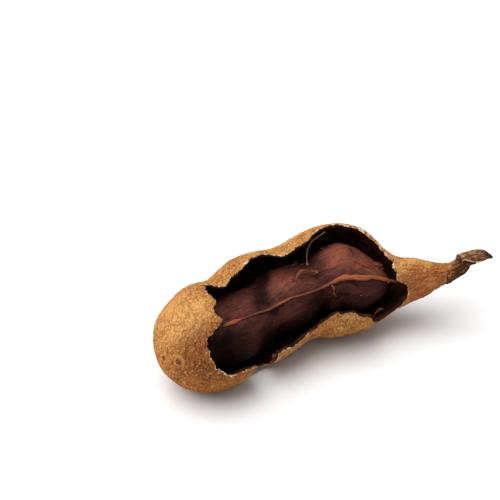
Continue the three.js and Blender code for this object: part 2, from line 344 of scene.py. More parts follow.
@dataclass(frozen=True)
class ScurfPattern:
    """The rough scurf of the rind: small rounded bumps, and longer cracks that meander between them."""

    bump: float = 0.86  # across one bump
    squeeze: float = 1.3  # bumps are this much shorter along the pod than round it
    gap: Step = Step(0.0, 0.26)  # from the middle of a gap up onto a bump
    bump_sway: Sway = Sway(1.3, 0.42)
    wear: Blobs = Blobs(2.8)  # stretches where the bumps are worn flat
    worn: Step = Step(0.45, 0.62, 0.5)
    crack_sway: Sway = Sway(1.5, 0.3)
    crack_blobs: Blobs = Blobs(1.9, 1.0)  # a crack follows the line round each of these
    crack_width: Step = Step(0.06, 0.015)
    crack_shown: Blobs = Blobs(4.6)
    shown: Step = Step(0.36, 0.52)
    grit: Blobs = Blobs(0.6, 1.0)
    roll: Blobs = Blobs(5.5)  # shallow swellings of the skin
    fold_sway: Sway = Sway(4.0, 0.8)
    folds: Blobs = Blobs(2.6, along=0.14)  # long folds of the neck
    neck: Step = Step(67.0, 77.0, 0.9)  # where they start along the pod, and their height
    bump_height: float = 0.17
    crack_depth: float = 0.15
    grit_height: float = 0.2
    roll_height: float = 0.4

    def swayed(self, place: Direction) -> Direction:
        """The place that the bumps are worked out from."""
        return self.bump_sway.of(place).scaled(self.squeeze)

    def bumps(self, place: Direction) -> Value:
        """How much a place is on a bump, from 0 in a gap to 1."""
        worn = self.worn.of(self.wear.at(place))
        return (1 - worn) * self.gap.of(self.swayed(place).cells(self.bump, Cells.TO_EDGE)) + worn

    def lightness(self, place: Direction) -> Value:
        """How light each bump is, from 0 to 1."""
        return self.swayed(place).cells(self.bump, Cells.OWN)

    def cracks(self, place: Direction) -> Value:
        """How much a place is in one of the longer cracks, from 0 to 1."""
        level = abs(self.crack_blobs.at(self.crack_sway.of(place).scaled(self.squeeze)) - 0.5)
        return self.crack_width.of(level) * self.shown.of(self.crack_shown.at(place))

    def relief(self, place: Direction, grain: Direction) -> Value:
        """Height of the rind's skin.

        Args:
            place: the place, in millimetres.
            grain: the place on the straightened pod.

        Returns:
            The height, in millimetres.
        """
        raised = self.bumps(place) * self.bump_height - self.cracks(place) * self.crack_depth
        grit = (self.grit.at(place) - 0.5) * self.grit_height
        roll = (self.roll.at(place) - 0.5) * self.roll_height
        folds = (self.folds.at(self.fold_sway.of(grain)) - 0.5) * self.neck.of(grain.part(0))
        return raised + grit + roll + folds


@dataclass(frozen=True)
class Scar:
    """A small dark scar with a pale halo and a broken ring round it. Its steps are in radii."""

    middle: Triple
    radius: float
    sway: Sway = Sway(1.2, 0.6)
    halo: Step = Step(1.8, 1.3, 0.35)
    ring: float = 1.9  # how far out the ring is
    ring_width: Step = Step(0.3, 0.05, 0.45)
    spot: Step = Step(1.05, 0.5, 0.85)

    def away(self, place: Direction) -> Value:
        """Distance of a place from the scar's middle, in millimetres, a little uneven."""
        return self.sway.of(place).measure("DISTANCE", self.middle)


@dataclass(frozen=True)
class RindFinish(Finish):
    """The outer skin: tan scurf, browner in patches and in its cracks, and browner towards its belly, which
    is painted shade.
    """

    scurf: ScurfPattern = ScurfPattern()
    tan: Colour = (0.51, 0.222, 0.058)
    straw: Colour = (0.7, 0.39, 0.13)
    amber: Colour = (0.42, 0.138, 0.03)
    umber: Colour = (0.2, 0.058, 0.015)
    brown: Colour = (0.2, 0.056, 0.015)
    crack: Colour = (0.15, 0.042, 0.011)
    sienna: Colour = (0.28, 0.078, 0.027)
    bark: Colour = (0.055, 0.02, 0.01)
    scar: Colour = (0.1, 0.025, 0.014)
    halo: Colour = (0.6, 0.27, 0.08)
    # Places on the pod.
    sway: Sway = Sway(6.0, 2.5)
    neck: Step = Step(13.0, 23.0)  # the skin turns browner and smoother along here
    middle: tuple[Step, Step] = (Step(-33.0, -25.0), Step(12.0, 2.0))
    # Painted shade: the skin is painted amber towards its belly, where less light falls.
    belly: Step = Step(17.0, 5.0)
    # A stain beside the opening that also carries painted shade, on the side turned from the light.
    stain_and_shade: Spot = Spot((-36.4, -14.4, 15.8), 10.0, 3.5, 0.75)  # browner, beside the opening
    # The smooth patch's paler tone is painted light on the tip's upper side.
    calm: Spot = Spot((-39.5, -4.0, 21.5), 12.0, 4.8)  # paler and smoother, on the tip's upper side
    flush: Spot = Spot((20.0, -8.7, 16.3), 3.6, 1.0, 0.6)  # reddish, at the opening's corner by the neck
    stalk: Step = Step(31.3, 32.2, 0.9)  # as dark as bark from here
    stalk_sway: Sway = Sway(1.0, 0.5)
    scars: tuple[Scar, ...] = (Scar((-43.4, -7.5, 12.9), 0.85), Scar((-41.43, -11.44, 13.97), 1.1))
    # How strongly those places colour the ground, and how much weaker they make the scurf's colours.
    belly_shade_amber: float = 0.85
    middle_amber: float = 0.45  # less of it at the middle
    middle_umber: float = 0.3
    neck_amber: float = 0.7
    neck_sienna: float = 0.85
    neck_smooth: float = 0.65
    calm_painted_light: float = 0.36
    calm_smooth: float = 0.35
    calm_cracks: float = 0.2
    # Colours over the ground.
    clouds: Blobs = Blobs(12.0, 3.0)
    sunny: Step = Step(0.38, 0.66, 0.7)
    # Painted shade: umber low down on the skin.
    shade: Step = Step(7.0, 1.5)
    umber_shade: float = 0.6
    patches: Blobs = Blobs(5.0, 4.0, 0.6)
    patchy: Step = Step(0.56, 0.78, 0.35)
    # Colours of the neck, with painted light on its top and painted shade below.
    lit: Step = Step(16.0, 18.5, 0.75)
    shaded: Step = Step(17.8, 14.8, 0.7)
    streak_sway: Sway = Sway(3.0, 0.7)
    streaks: Blobs = Blobs(0.9, 3.0, 0.6, 0.16)
    dark_streaks: Step = Step(0.5, 0.62, 0.6)
    pale_streaks: Step = Step(0.45, 0.3, 0.4)
    # Fine colours of the scurf.
    flecks: Blobs = Blobs(0.9, 3.0, 0.65)
    pale_flecks: Step = Step(0.52, 0.72, 0.3)
    dark_flecks: Step = Step(0.46, 0.26, 0.4)
    pale_bumps: Step = Step(0.55, 0.95, 0.35)
    dark_bumps: Step = Step(0.4, 0.05, 0.25)
    # Dark gaps and cracks: their own darker colour, with painted shade in them.
    gaps: float = 0.65  # how dark the gaps between bumps are
    # The stained patch is a stain with painted shade.
    stained_gaps: float = 0.3  # and how much darker in the stain
    dark_cracks: float = 0.6
    ring_flecks: Step = Step(0.4, 0.55)
    dust: Blobs = Blobs(0.3, 2.0, 0.7)
    dull: float = 0.68  # least roughness
    dusty: float = 0.2  # how much dust adds
    fine_height: float = 0.06  # height of bumps, dust and cracks, in millimetres

    def paint(self, place: Direction, grain: Direction) -> tuple[Tint, Value, Value]:
        """Mottled tan with darker cracks, whose dark is partly painted shade; see Finish.paint."""
        swayed = self.sway.of(place)
        neck = self.neck.of(swayed.part(0))
        calm = self.calm.at(swayed)
        stained = self.stain_and_shade.at(swayed)
        flecks = self.flecks.at(place)
        bumps, cracks = self.scurf.bumps(place), self.scurf.cracks(place)
        rough = 1 - neck * self.neck_smooth

        tint = self.ground(place, swayed, neck, calm, stained)
        tint = self.necked(tint, swayed, grain, neck)
        tint = tint.towards(self.straw, self.pale_flecks.of(flecks))
        tint = tint.towards(self.brown, self.dark_flecks.of(flecks))
        own = self.scurf.lightness(place)
        bumpy = rough * (1 - calm * self.calm_smooth)
        tint = tint.towards(self.straw, self.pale_bumps.of(own) * bumps * bumpy)
        tint = tint.towards(self.brown, self.dark_bumps.of(own) * bumpy)
        # The gaps' and cracks' dark is their own colour with painted shade in them.
        tint = tint.towards(self.crack, (1 - bumps) * (stained * self.stained_gaps + self.gaps) * bumpy)
        tint = tint.towards(self.crack, cracks * (self.dark_cracks - calm * self.calm_cracks) * rough)
        tint = tint.towards(self.bark, self.stalk.of(towards_stalk(self.stalk_sway.of(place))))
        for scar in self.scars:
            tint = self.scarred(tint, scar, place, flecks)
        dust = self.dust.at(place)
        return tint, dust * self.dusty + self.dull, (bumps + dust - cracks) * self.fine_height

    def ground(self, place: Direction, swayed: Direction, neck: Value, calm: Value,
               stained: Value) -> Tint:
        """The broad colours under the scurf, with painted shade low down and towards the belly.

        Args:
            place: the place, in millimetres.
            swayed: the place, moved about a little.
            neck: how much it is on the neck.
            calm: how much it is in the smooth patch, whose pale tone is painted light.
            stained: how strongly it is stained, with painted shade in the stain.

        Returns:
            The colour.
        """
        height = swayed.part(2)
        middle = self.middle[0].of(swayed.part(0)) * self.middle[1].of(swayed.part(0))
        # Painted shade: amber towards the belly and umber low down, both less at the middle.
        belly = self.belly.of(height) * (self.belly_shade_amber - middle * self.middle_amber)
        shade = self.shade.of(height) * (self.umber_shade - middle * self.middle_umber)
        # The random pale clouds are the skin's own tone; the smooth patch adds painted light.
        sunny = self.sunny.of(self.clouds.at(place)).most(calm * self.calm_painted_light)
        tint = sunny.mix(self.tan, self.straw)
        tint = tint.towards(self.amber, belly.most(neck * self.neck_amber))
        tint = tint.towards(self.umber, shade)
        tint = tint.towards(self.brown, stained)
        return tint.towards(self.brown, self.patchy.of(self.patches.at(place)) * (1 - calm))

    def necked(self, tint: Tint, swayed: Direction, grain: Direction, neck: Value) -> Tint:
        """Lays the neck's colours over another: pale on top as painted light, reddish below as streaks and
        painted shade, streaked along.

        Args:
            tint: the colour so far.
            swayed: the place, moved about a little.
            grain: the place on the straightened pod.
            neck: how much it is on the neck.

        Returns:
            The colour.
        """
        height = swayed.part(2)
        streaks = self.streaks.at(self.streak_sway.of(grain))
        # Painted shade: the neck's lower side is painted reddish, along with its dark streaks.
        reddish = (self.dark_streaks.of(streaks) + self.shaded.of(height)) * self.neck_sienna
        tint = tint.towards(self.straw, self.lit.of(height) * neck)
        tint = tint.towards(self.sienna, reddish * neck)
        tint = tint.towards(self.sienna, self.flush.at(swayed))
        return tint.towards(self.straw, self.pale_streaks.of(streaks) * neck)

    def scarred(self, tint: Tint, scar: Scar, place: Direction, flecks: Value) -> Tint:
        """Lays a scar over another colour.

        Args:
            tint: the colour so far.
            scar: the scar.
            place: the place, in millimetres.
            flecks: the pattern that breaks its ring.

        Returns:
            The colour.
        """
        away = scar.away(place) * (1 / scar.radius)
        ring = scar.ring_width.of(abs(away - scar.ring)) * self.ring_flecks.of(flecks)
        tint = tint.towards(self.halo, scar.halo.of(away))
        tint = tint.towards(self.crack, ring)
        return tint.towards(self.scar, scar.spot.of(away))


@dataclass(frozen=True)
class LiningFinish(Finish):
    """The papery dark lining of the hollow."""

    dark: Colour = (0.015, 0.005, 0.0028)
    warm: Colour = (0.075, 0.024, 0.009)
    veins: Blobs = Blobs(1.6, 4.0, 0.6, 0.35)
    veined: Step = Step(0.4, 0.7)
    film: Blobs = Blobs(5.0)
    filmed: Step = Step(0.3, 0.7)
    # Painted light: the upper wall at the back, where light falls into the hollow, is painted warmer: where
    # along X, Y and Z it is, and its veins.
    back: tuple[Step, ...] = (Step(4.0, 14.0), Step(-8.0, -2.0), Step(14.0, 19.0))
    lit_back_veins: Step = Step(0.35, 0.6)
    dull: Pair = (0.5, 0.25)  # least roughness, and what the film adds
    vein_height: float = 0.12

    def paint(self, place: Direction, grain: Direction) -> tuple[Tint, Value, Value]:
        """Dark brown with warmer veins, and painted light on the upper back wall; see Finish.paint."""
        veins, film = self.veins.at(place), self.film.at(place)
        across, inward, height = (step.of(place.part(axis)) for axis, step in enumerate(self.back))
        tint = (self.veined.of(veins) * self.filmed.of(film)).mix(self.dark, self.warm)
        # Painted light on the upper back wall.
        tint = tint.towards(self.warm, across * inward * height * self.lit_back_veins.of(veins))
        return tint, film * self.dull[1] + self.dull[0], veins * self.vein_height


@dataclass(frozen=True)
class BreakFinish(Finish):
    """The crumbly broken edge of the shell."""

    pale: Colour = (0.76, 0.54, 0.32)
    tan: Colour = (0.48, 0.23, 0.08)
    dark: Colour = (0.06, 0.018, 0.006)
    crumb: float = 0.62  # across one crumb
    crumb_sway: Sway = Sway(0.8, 0.25)
    pale_crumbs: Step = Step(0.4, 0.7)
    dark_crumbs: Step = Step(0.35, 0.15, 0.85)
    stains: Blobs = Blobs(2.2, 3.0)
    stained: Step = Step(0.52, 0.7, 0.6)
    dull: Pair = (0.85, 0.1)  # least roughness, and what a stain adds
    crumb_height: float = 0.08

    def paint(self, place: Direction, grain: Direction) -> tuple[Tint, Value, Value]:
        """Pale crumbs in tan and brown; see Finish.paint."""
        crumbs = self.crumb_sway.of(place).cells(self.crumb, Cells.OWN)
        stains = self.stains.at(place)
        tint = self.pale_crumbs.of(crumbs).mix(self.tan, self.pale)
        tint = tint.towards(self.dark, self.dark_crumbs.of(crumbs))
        tint = tint.towards(self.dark, self.stained.of(stains))
        return tint, stains * self.dull[1] + self.dull[0], crumbs * self.crumb_height


@dataclass(frozen=True)
class ValleyShade:
    """Painted shade: a dark band in the hollow between two lobes of the pulp, where they shade each other.
    """

    along: float
    width: float  # half its width
    strength: float
    lean: float  # how far along the pulp it leans for each millimetre towards the front
    whole: float = 0.2  # share of its width that is quite dark


@dataclass(frozen=True)
class PulpFinish(Finish):
    """Sticky fibrous pulp: reddish above, purplish at the tip's end, nearly black towards its belly. The
    red on top is partly painted light, the purplish tone partly painted sheen, and the black below painted
    shade.
    """

    red: Colour = (0.27, 0.078, 0.046)
    # A greyish purple on the upper side: the pulp's own colour, greyed as painted sheen.
    plum_and_sheen: Colour = (0.092, 0.031, 0.026)
    front: Colour = (0.088, 0.027, 0.022)
    black: Colour = (0.012, 0.0045, 0.004)
    # Colour of the pale specks, which are dust and painted glints.
    dust: Colour = (0.3, 0.19, 0.12)
    sway: Sway = Sway(6.0, 2.2)
    # Heights on the straightened pulp, and places along it, both in millimetres.
    upper: Step = Step(4.3, 6.6)
    # The crest's red is partly the pulp's own colour and partly painted light on its upper side.
    lit_crest: Step = Step(5.3, 8.2)
    front_height: Step = Step(-6.0, 3.0)
    lobe: Step = Step(45.0, 50.0, 2.0)  # the front's colour reaches this much lower here
    dusk: tuple[Step, Step] = (Step(33.0, 37.0), Step(46.5, 43.0, 2.5))  # and this much higher here
    # Painted shade: the front's colour gives way to near black at the tip, and at the neck's end too.
    tip: Step = Step(11.0, 23.0, 0.97)  # it fades to a little at the tip
    tip_front: float = 0.03
    neck: Step = Step(68.0, 62.0)
    tip_plum: Step = Step(9.0, 13.0, 0.85)
    least_plum: float = 0.15
    red_lobe: Step = Step(44.0, 50.0, 0.75)
    red_middle: tuple[Step, Step] = (Step(29.5, 33.5), Step(43.0, 37.0, 0.5))
    red_streaked: Step = Step(28.0, 40.0, 0.22)
    least_red: float = 0.14
    valley_shades: tuple[ValleyShade, ...] = (ValleyShade(29.2, 4.0, 0.82, 0.7), ValleyShade(45.6, 2.2, 0.3, 0.0))
    valley_side: Step = Step(4.5, 1.0, 0.8)  # height where a valley runs on down the side
    # Patterns drawn out along the pulp, and how strongly they show.
    streaks: Blobs = Blobs(0.75, 4.0, 0.7, 0.14)
    threads: Blobs = Blobs(0.3, 3.0, 0.6, 0.1)
    bands: Blobs = Blobs(2.2, 3.0, 0.5, 0.2)
    film: Blobs = Blobs(5.0, 3.0)
    dark_bands: Step = Step(0.47, 0.32, 0.5)
    red_streaks: Step = Step(0.54, 0.68)
    dark_streaks: Step = Step(0.48, 0.34, 0.6)
    dark_threads: Step = Step(0.48, 0.36, 0.4)
    red_film: Step = Step(0.45, 0.62, 0.25)
    dust_and_glint_specks: Blobs = Blobs(0.3, 2.0, 0.7)
    dusty: Step = Step(0.69, 0.8, 0.6)
    grains: Blobs = Blobs(0.5)
    sticky: Step = Step(0.35, 0.65, 0.22)  # roughness that the film adds
    least_rough: float = 0.42
    heights: Triple = (0.16, 0.08, 0.05)  # of streaks, threads and grains

    def paint(self, place: Direction, grain: Direction) -> tuple[Tint, Value, Value]:
        """Fine drawn streaks along the pulp; see Finish.paint."""
        swirled = self.sway.of(grain)
        along, height = swirled.part(0), swirled.part(2)
        upper = self.upper.of(height)
        streaks, threads = self.streaks.at(swirled), self.threads.at(swirled)
        film = self.film.at(place)
        plum_and_sheen = upper * (self.tip_plum.of(along) + self.least_plum)
        reddish = self.red_film.of(film) + self.red_lobe.of(along)
        reddish = reddish + self.red_middle[0].of(along) * self.red_middle[1].of(along)
        streaked = self.red_streaks.of(streaks) * (self.red_streaked.of(along) + self.least_red)

        # Painted shade: the belly, the tip and the neck's end go near black.
        tint = self.front_over_shade(along, height).mix(self.black, self.front)
        # Purplish upper side: own colour with painted sheen.
        tint = tint.towards(self.plum_and_sheen, plum_and_sheen)
        # Red on the upper side: own colour and painted light.
        tint = tint.towards(self.red, self.lit_crest.of(height) * reddish)
        tint = tint.towards(self.black, self.dark_bands.of(self.bands.at(swirled)))
        tint = tint.towards(self.red, upper * streaked)
        tint = tint.towards(self.black, self.dark_streaks.of(streaks))
        tint = tint.towards(self.black, self.dark_threads.of(threads))
        # Painted shade in the hollows between lobes.
        for valley in self.valley_shades:
            away = abs(along + swirled.part(1) * valley.lean - valley.along)
            valley_shade = Step(valley.width, valley.whole * valley.width, valley.strength).of(away)
            tint = tint.towards(self.black, valley_shade * upper.most(self.valley_side.of(height)))
        # Pale specks: dust, and painted glints of the sticky surface.
        tint = tint.towards(self.dust, self.dusty.of(self.dust_and_glint_specks.at(place)))
        patterns = (streaks, threads, self.grains.at(place))
        grit = sum(pattern * rise for pattern, rise in zip(patterns, self.heights))
        return tint, self.sticky.of(film) + self.least_rough, grit

    def front_over_shade(self, along: Value, height: Value) -> Value:
        """How much of the front's colour shows over the near black painted shade of the belly, the tip and
        the neck's end.

        Args:
            along: the place along the pulp, in millimetres.
            height: its height on the straightened pulp.

        Returns:
            The share.
        """
        raised = height + self.lobe.of(along) - self.dusk[0].of(along) * self.dusk[1].of(along)
        return self.front_height.of(raised) * (self.tip.of(along) + self.tip_front) * self.neck.of(along)


@dataclass(frozen=True)
class FibreFinish(Finish):
    """A dried strand with fine threads along it."""

    light: Colour = (0.4, 0.135, 0.045)
    dark: Colour = (0.16, 0.046, 0.018)
    dull: Colour = (0.12, 0.04, 0.024)
    bright: tuple[tuple[Step, Step], ...] = ()  # stretches along that keep their colour; all do if none
    dulled: float = 0.85
    threads: Blobs = Blobs(0.16, 3.0, 0.6, 0.08)
    pale_threads: Step = Step(0.32, 0.66)
    patches: Blobs = Blobs(2.5, 3.0, 0.5, 0.4)
    patchy: Step = Step(0.48, 0.75, 0.7)
    roughness: Pair = (0.45, 0.2)  # the least, and what a patch adds
    thread_height: float = 0.08

    def paint(self, place: Direction, grain: Direction) -> tuple[Tint, Value, Value]:
        """Threads along the strand; see Finish.paint."""
        threads, patches = self.threads.at(grain), self.patches.at(grain)
        tint = self.pale_threads.of(threads).mix(self.dark, self.light)
        tint = tint.towards(self.dark, self.patchy.of(patches))
        if self.bright:
            along = grain.part(0)
            kept = sum(start.of(along) * end.of(along) for start, end in self.bright)
            tint = tint.towards(self.dull, (1 - kept) * self.dulled)
        return tint, patches * self.roughness[1] + self.roughness[0], threads * self.thread_height


@dataclass(frozen=True)
class BarkFinish(Finish):
    """Stalk bark or split wood: long fissures and a weathered bloom."""

    light: Colour = (0.2, 0.09, 0.04)
    mid: Colour = (0.07, 0.026, 0.011)
    dark: Colour = (0.017, 0.007, 0.004)
    skin: Colour = (0.36, 0.14, 0.045)
    tip: Colour = (0.045, 0.015, 0.014)
    sway: Sway = Sway(2.5, 0.35)
    fissures: Blobs = Blobs(0.42, 4.0, 0.65, 0.16)
    ridges: Step = Step(0.36, 0.56)  # mid between the fissures
    crests: Step = Step(0.5, 0.66)  # light on the ridges, where the bloom is
    bloom: Blobs = Blobs(1.8, 3.0, 0.6)
    weathered: Step = Step(0.36, 0.56)  # less of it is light with a higher pair
    torn: Sway = Sway(1.2, 0.9)
    skin_end: Step = Step(34.6, 31.6)  # shreds of the pod's skin reach from the pod to here
    skin_ridges: Step = Step(0.35, 0.5)
    tipped: Step = Step(40.5, 43.0, 0.8)  # the far end is darker
    roughness: Pair = (0.7, 0.2)  # the least, and what the bloom adds
    fissure_height: float = 0.22

    def paint(self, place: Direction, grain: Direction) -> tuple[Tint, Value, Value]:
        """Fissures along the stalk; see Finish.paint."""
        fissures, bloom = self.fissures.at(self.sway.of(grain)), self.bloom.at(place)
        torn = self.torn.of(place)
        tint = self.ridges.of(fissures).mix(self.dark, self.mid)
        tint = tint.towards(self.light, self.crests.of(fissures) * self.weathered.of(bloom))
        shreds = self.skin_end.of(towards_stalk(torn)) * self.skin_ridges.of(fissures)
        tint = tint.towards(self.skin, shreds)
        tint = tint.towards(self.tip, self.tipped.of(torn.part(0)))
        return tint, bloom * self.roughness[1] + self.roughness[0], fissures * self.fissure_height


@dataclass(frozen=True)
class CrumbFinish(Finish):
    """Loose crumbs of rind and dried pulp, with a pale and a brown side."""

    pale: Colour = (0.5, 0.33, 0.19)
    brown: Colour = (0.19, 0.08, 0.03)
    sides: Blobs = Blobs(0.9, 3.0, 0.7)
    turned: Step = Step(0.4, 0.6)
    roughness: Pair = (0.7, 0.2)
    height: float = 0.08

    def paint(self, place: Direction, grain: Direction) -> tuple[Tint, Value, Value]:
        """A pale or a brown side; see Finish.paint."""
        sides = self.sides.at(place)
        tint = self.turned.of(sides).mix(self.brown, self.pale)
        return tint, sides * self.roughness[1] + self.roughness[0], sides * self.height


@dataclass(frozen=True)
class FloorFinish(Finish):
    """Matt white studio floor."""

    white: Colour = (0.825, 0.825, 0.815)
    grey: Colour = (0.81, 0.81, 0.805)
    clouds: Blobs = Blobs(60.0)
    roughness: Pair = (0.8, 0.1)
    height: float = 0.001

    def paint(self, place: Direction, grain: Direction) -> tuple[Tint, Value, Value]:
        """Almost even white; see Finish.paint."""
        clouds = self.clouds.at(place)
        roughness = clouds * self.roughness[1] + self.roughness[0]
        return clouds.mix(self.grey, self.white), roughness, clouds * self.height


RIND = RindFinish("rind", gloss=0.1)
LINING = LiningFinish("lining", gloss=0.04)
BREAK = BreakFinish("broken_edge", gloss=0.05)
PULP = PulpFinish("dried_pulp", gloss=0.02)
STRAND = FibreFinish("strand", gloss=0.12, light=(0.27, 0.088, 0.036), dark=(0.1, 0.03, 0.015))
MAIN_STRAND = FibreFinish(
    "main_strand", gloss=0.1, light=(0.43, 0.125, 0.04), dull=(0.13, 0.048, 0.03),
    bright=((Step(0.2, 1.0), Step(6.2, 4.6)), (Step(15.0, 18.0), Step(25.0, 20.0)),
            (Step(29.0, 38.0), Step(54.0, 47.0))))
PALE_STRAND = FibreFinish("pale_strand", gloss=0.15, light=(0.32, 0.17, 0.08), dark=(0.12, 0.055, 0.025))
BARK = BarkFinish("stalk_bark", gloss=0.08)
WOOD = BarkFinish("split_wood", gloss=0.08, light=(0.54, 0.33, 0.18), mid=(0.24, 0.1, 0.042),
                  dark=(0.05, 0.018, 0.011), weathered=Step(0.15, 0.4))
# The split's thin edge: pale wood, with a painted highlight where the edge catches the light.
SPLIT = BarkFinish("split_edge_highlight", gloss=0.12, light=(0.62, 0.44, 0.3), mid=(0.42, 0.26, 0.16),
                   dark=(0.16, 0.08, 0.045))
CRUMB = CrumbFinish("crumb", gloss=0.25)
SHRED = CrumbFinish("shred", gloss=0.25, pale=(0.12, 0.055, 0.028), brown=(0.04, 0.016, 0.009))
FLESH = CrumbFinish("flesh", gloss=0.05, pale=(0.19, 0.05, 0.028), brown=(0.06, 0.018, 0.012))
FLOOR = FloorFinish("studio_floor", gloss=0.1)


# ---- lofts -------------------------------------------------------------------------------------------

TINY = 1e-6  # a smaller distance counts as none


def smooth_curve(points: Sequence[Sequence[float]], straight_ends: bool, pieces: int = 60) -> np.ndarray:
    """A Catmull-Rom curve through points.

    Args:
        points: the points, two or three numbers each.
        straight_ends: True where the curve enters its ends along its first and last chord.
        pieces: samples between two points.

    Returns:
        The samples, one row each.
    """
    knots = np.asarray(points, float)
    before = 2 * knots[0] - knots[1] if straight_ends else knots[0]
    after = 2 * knots[-1] - knots[-2] if straight_ends else knots[-1]
    knots = np.vstack([before, knots, after])
    share = np.linspace(0, 1, pieces, endpoint=False)[:, None]
    rows = []
    for p0, p1, p2, p3 in zip(knots, knots[1:], knots[2:], knots[3:]):
        v0, v1 = (p2 - p0) / 2, (p3 - p1) / 2
        rows.append((2 * p1 - 2 * p2 + v0 + v1) * share**3
                    + (3 * p2 - 3 * p1 - 2 * v0 - v1) * share**2 + v0 * share + p1)
    return np.vstack([*rows, knots[-2]])


def around(count: int) -> list[tuple[int, int]]:
    """Each point of a ring with the next one."""
    return [(here, (here + 1) % count) for here in range(count)]


def distances(line: np.ndarray) -> np.ndarray:
    """Distance along a line of points at each of them."""
    return np.concatenate([[0.0], np.cumsum(np.linalg.norm(np.diff(line, axis=0), axis=1))])


def sampled(marks: np.ndarray, line: np.ndarray, at: np.ndarray) -> np.ndarray:
    """Places on a line whose points lie at the marks, one row for each distance asked for."""
    return np.stack([np.interp(at, marks, column) for column in line.T], -1)


def unit(rows: np.ndarray) -> np.ndarray:
    """Vectors of length 1 in the same directions."""
    return rows / np.linalg.norm(rows, axis=-1, keepdims=True)


class Spine:
    """A bent line that carries a ring at each distance along it, square to the chord round its place."""

    def __init__(self, points: Sequence[Sequence[float]], reach: float = 0.5) -> None:
        """Runs a smooth line through points.

        Args:
            points: the points, in millimetres.
            reach: half the chord that turns each ring.
        """
        self.line = smooth_curve(points, True)
        self.marks = distances(self.line)
        self.length = float(self.marks[-1])
        self.reach = reach

    def point(self, along: np.ndarray) -> np.ndarray:
        """Points on the line, which runs straight on past its ends.

        Args:
            along: distances along it.

        Returns:
            One row for each distance.
        """
        inside = np.clip(along, 0, self.length)
        first, last = unit(self.line[1] - self.line[0]), unit(self.line[-1] - self.line[-2])
        beyond = (along - inside)[..., None]
        return sampled(self.marks, self.line, inside) + beyond * np.where(beyond > 0, last, first)

    def axes(self, along: np.ndarray) -> tuple[np.ndarray, np.ndarray]:
        """Directions across the line.

        Args:
            along: distances along it.

        Returns:
            The front and the up direction of the ring at each distance.
        """
        ahead = unit(self.point(along + self.reach) - self.point(along - self.reach))
        front = unit(np.cross(ahead, [0.0, 0.0, 1.0]))
        return front, np.cross(front, ahead)


class Profile:
    """A smooth radius at each distance along a spine."""

    fewest: int = 6  # rings on the shortest profile

    def __init__(self, girth: Sequence[Pair], ending: Sequence[Pair] = ()) -> None:
        """Runs a smooth line through (distance, radius) pairs, then straight ones through the ending."""
        curve = np.maximum(smooth_curve(girth, False), 0)
        self.line = np.vstack([curve, ending]) if len(ending) else curve

    def radius(self, along: np.ndarray) -> np.ndarray:
        """Radius at distances along the spine, 0 past the ends."""
        return np.interp(along, self.line[:, 0], self.line[:, 1], left=0, right=0)

    def stations(self, spacing: float) -> np.ndarray:
        """[distance, radius] rows, evenly spread over the outline.

        Args:
            spacing: millimetres between two rings over the surface.

        Returns:
            The rows.
        """
        marks = distances(self.line)
        count = max(self.fewest, round(marks[-1] / spacing))
        return sampled(marks, self.line, np.linspace(0, marks[-1], count))


@dataclass
class Form:
    """A closed mesh under construction, in millimetres."""

    points: np.ndarray
    faces: list[tuple[int, ...]]
    grain: np.ndarray | None = None
    finish: int | list[int] = 0  # material number of its faces

    def joined(self, other: "Form") -> "Form":
        """This form and another as one mesh.

        Args:
            other: the other form, which has a grain where this one has.

        Returns:
            Both together.
        """
        start = len(self.points)
        faces = self.faces + [tuple(k + start for k in face) for face in other.faces]
        grain = None if self.grain is None else np.vstack([self.grain, other.grain])
        finish = self.finishes() + other.finishes()
        return Form(np.vstack([self.points, other.points]), faces, grain, finish)

    def finishes(self) -> list[int]:
        """The material number of each face."""
        return self.finish if isinstance(self.finish, list) else [int(self.finish)] * len(self.faces)

    def mesh_object(self, name: str, finishes: Sequence[Finish]) -> bpy.types.Object:
        """Makes the Blender object.

        Args:
            name: the object's name.
            finishes: the materials that the face numbers name.

        Returns:
            The object, in metres, linked to the scene.
        """
        mesh = bpy.data.meshes.new(name)
        mesh.from_pydata((self.points * MM).tolist(), [], self.faces)
        for finish in finishes:
            mesh.materials.append(finish.material())
        mesh.polygons.foreach_set("material_index", self.finishes())
        mesh.polygons.foreach_set("use_smooth", [True] * len(mesh.polygons))
        if self.grain is not None:
            attribute = mesh.attributes.new(GRAIN, "FLOAT_VECTOR", "POINT")
            attribute.data.foreach_set("vector", self.grain.astype(np.float32).ravel())
        mesh.update()
        made = bpy.data.objects.new(name, mesh)
        bpy.context.scene.collection.objects.link(made)
        return made


def unswollen(along: np.ndarray, turn: np.ndarray) -> np.ndarray:
    """No extra radius."""
    return np.zeros_like(turn)


@dataclass(frozen=True)
class Wave:
    """One of the waves that wind round a loft."""

    height: float
    count: float  # how many there are round it
    run: float  # radians for each millimetre along it
    phase: float = 0.0

    def at(self, along: np.ndarray, turn: np.ndarray) -> np.ndarray:
        """Its height at places on the loft."""
        return self.height * np.sin(self.run * along + self.count * np.radians(turn) + self.phase)


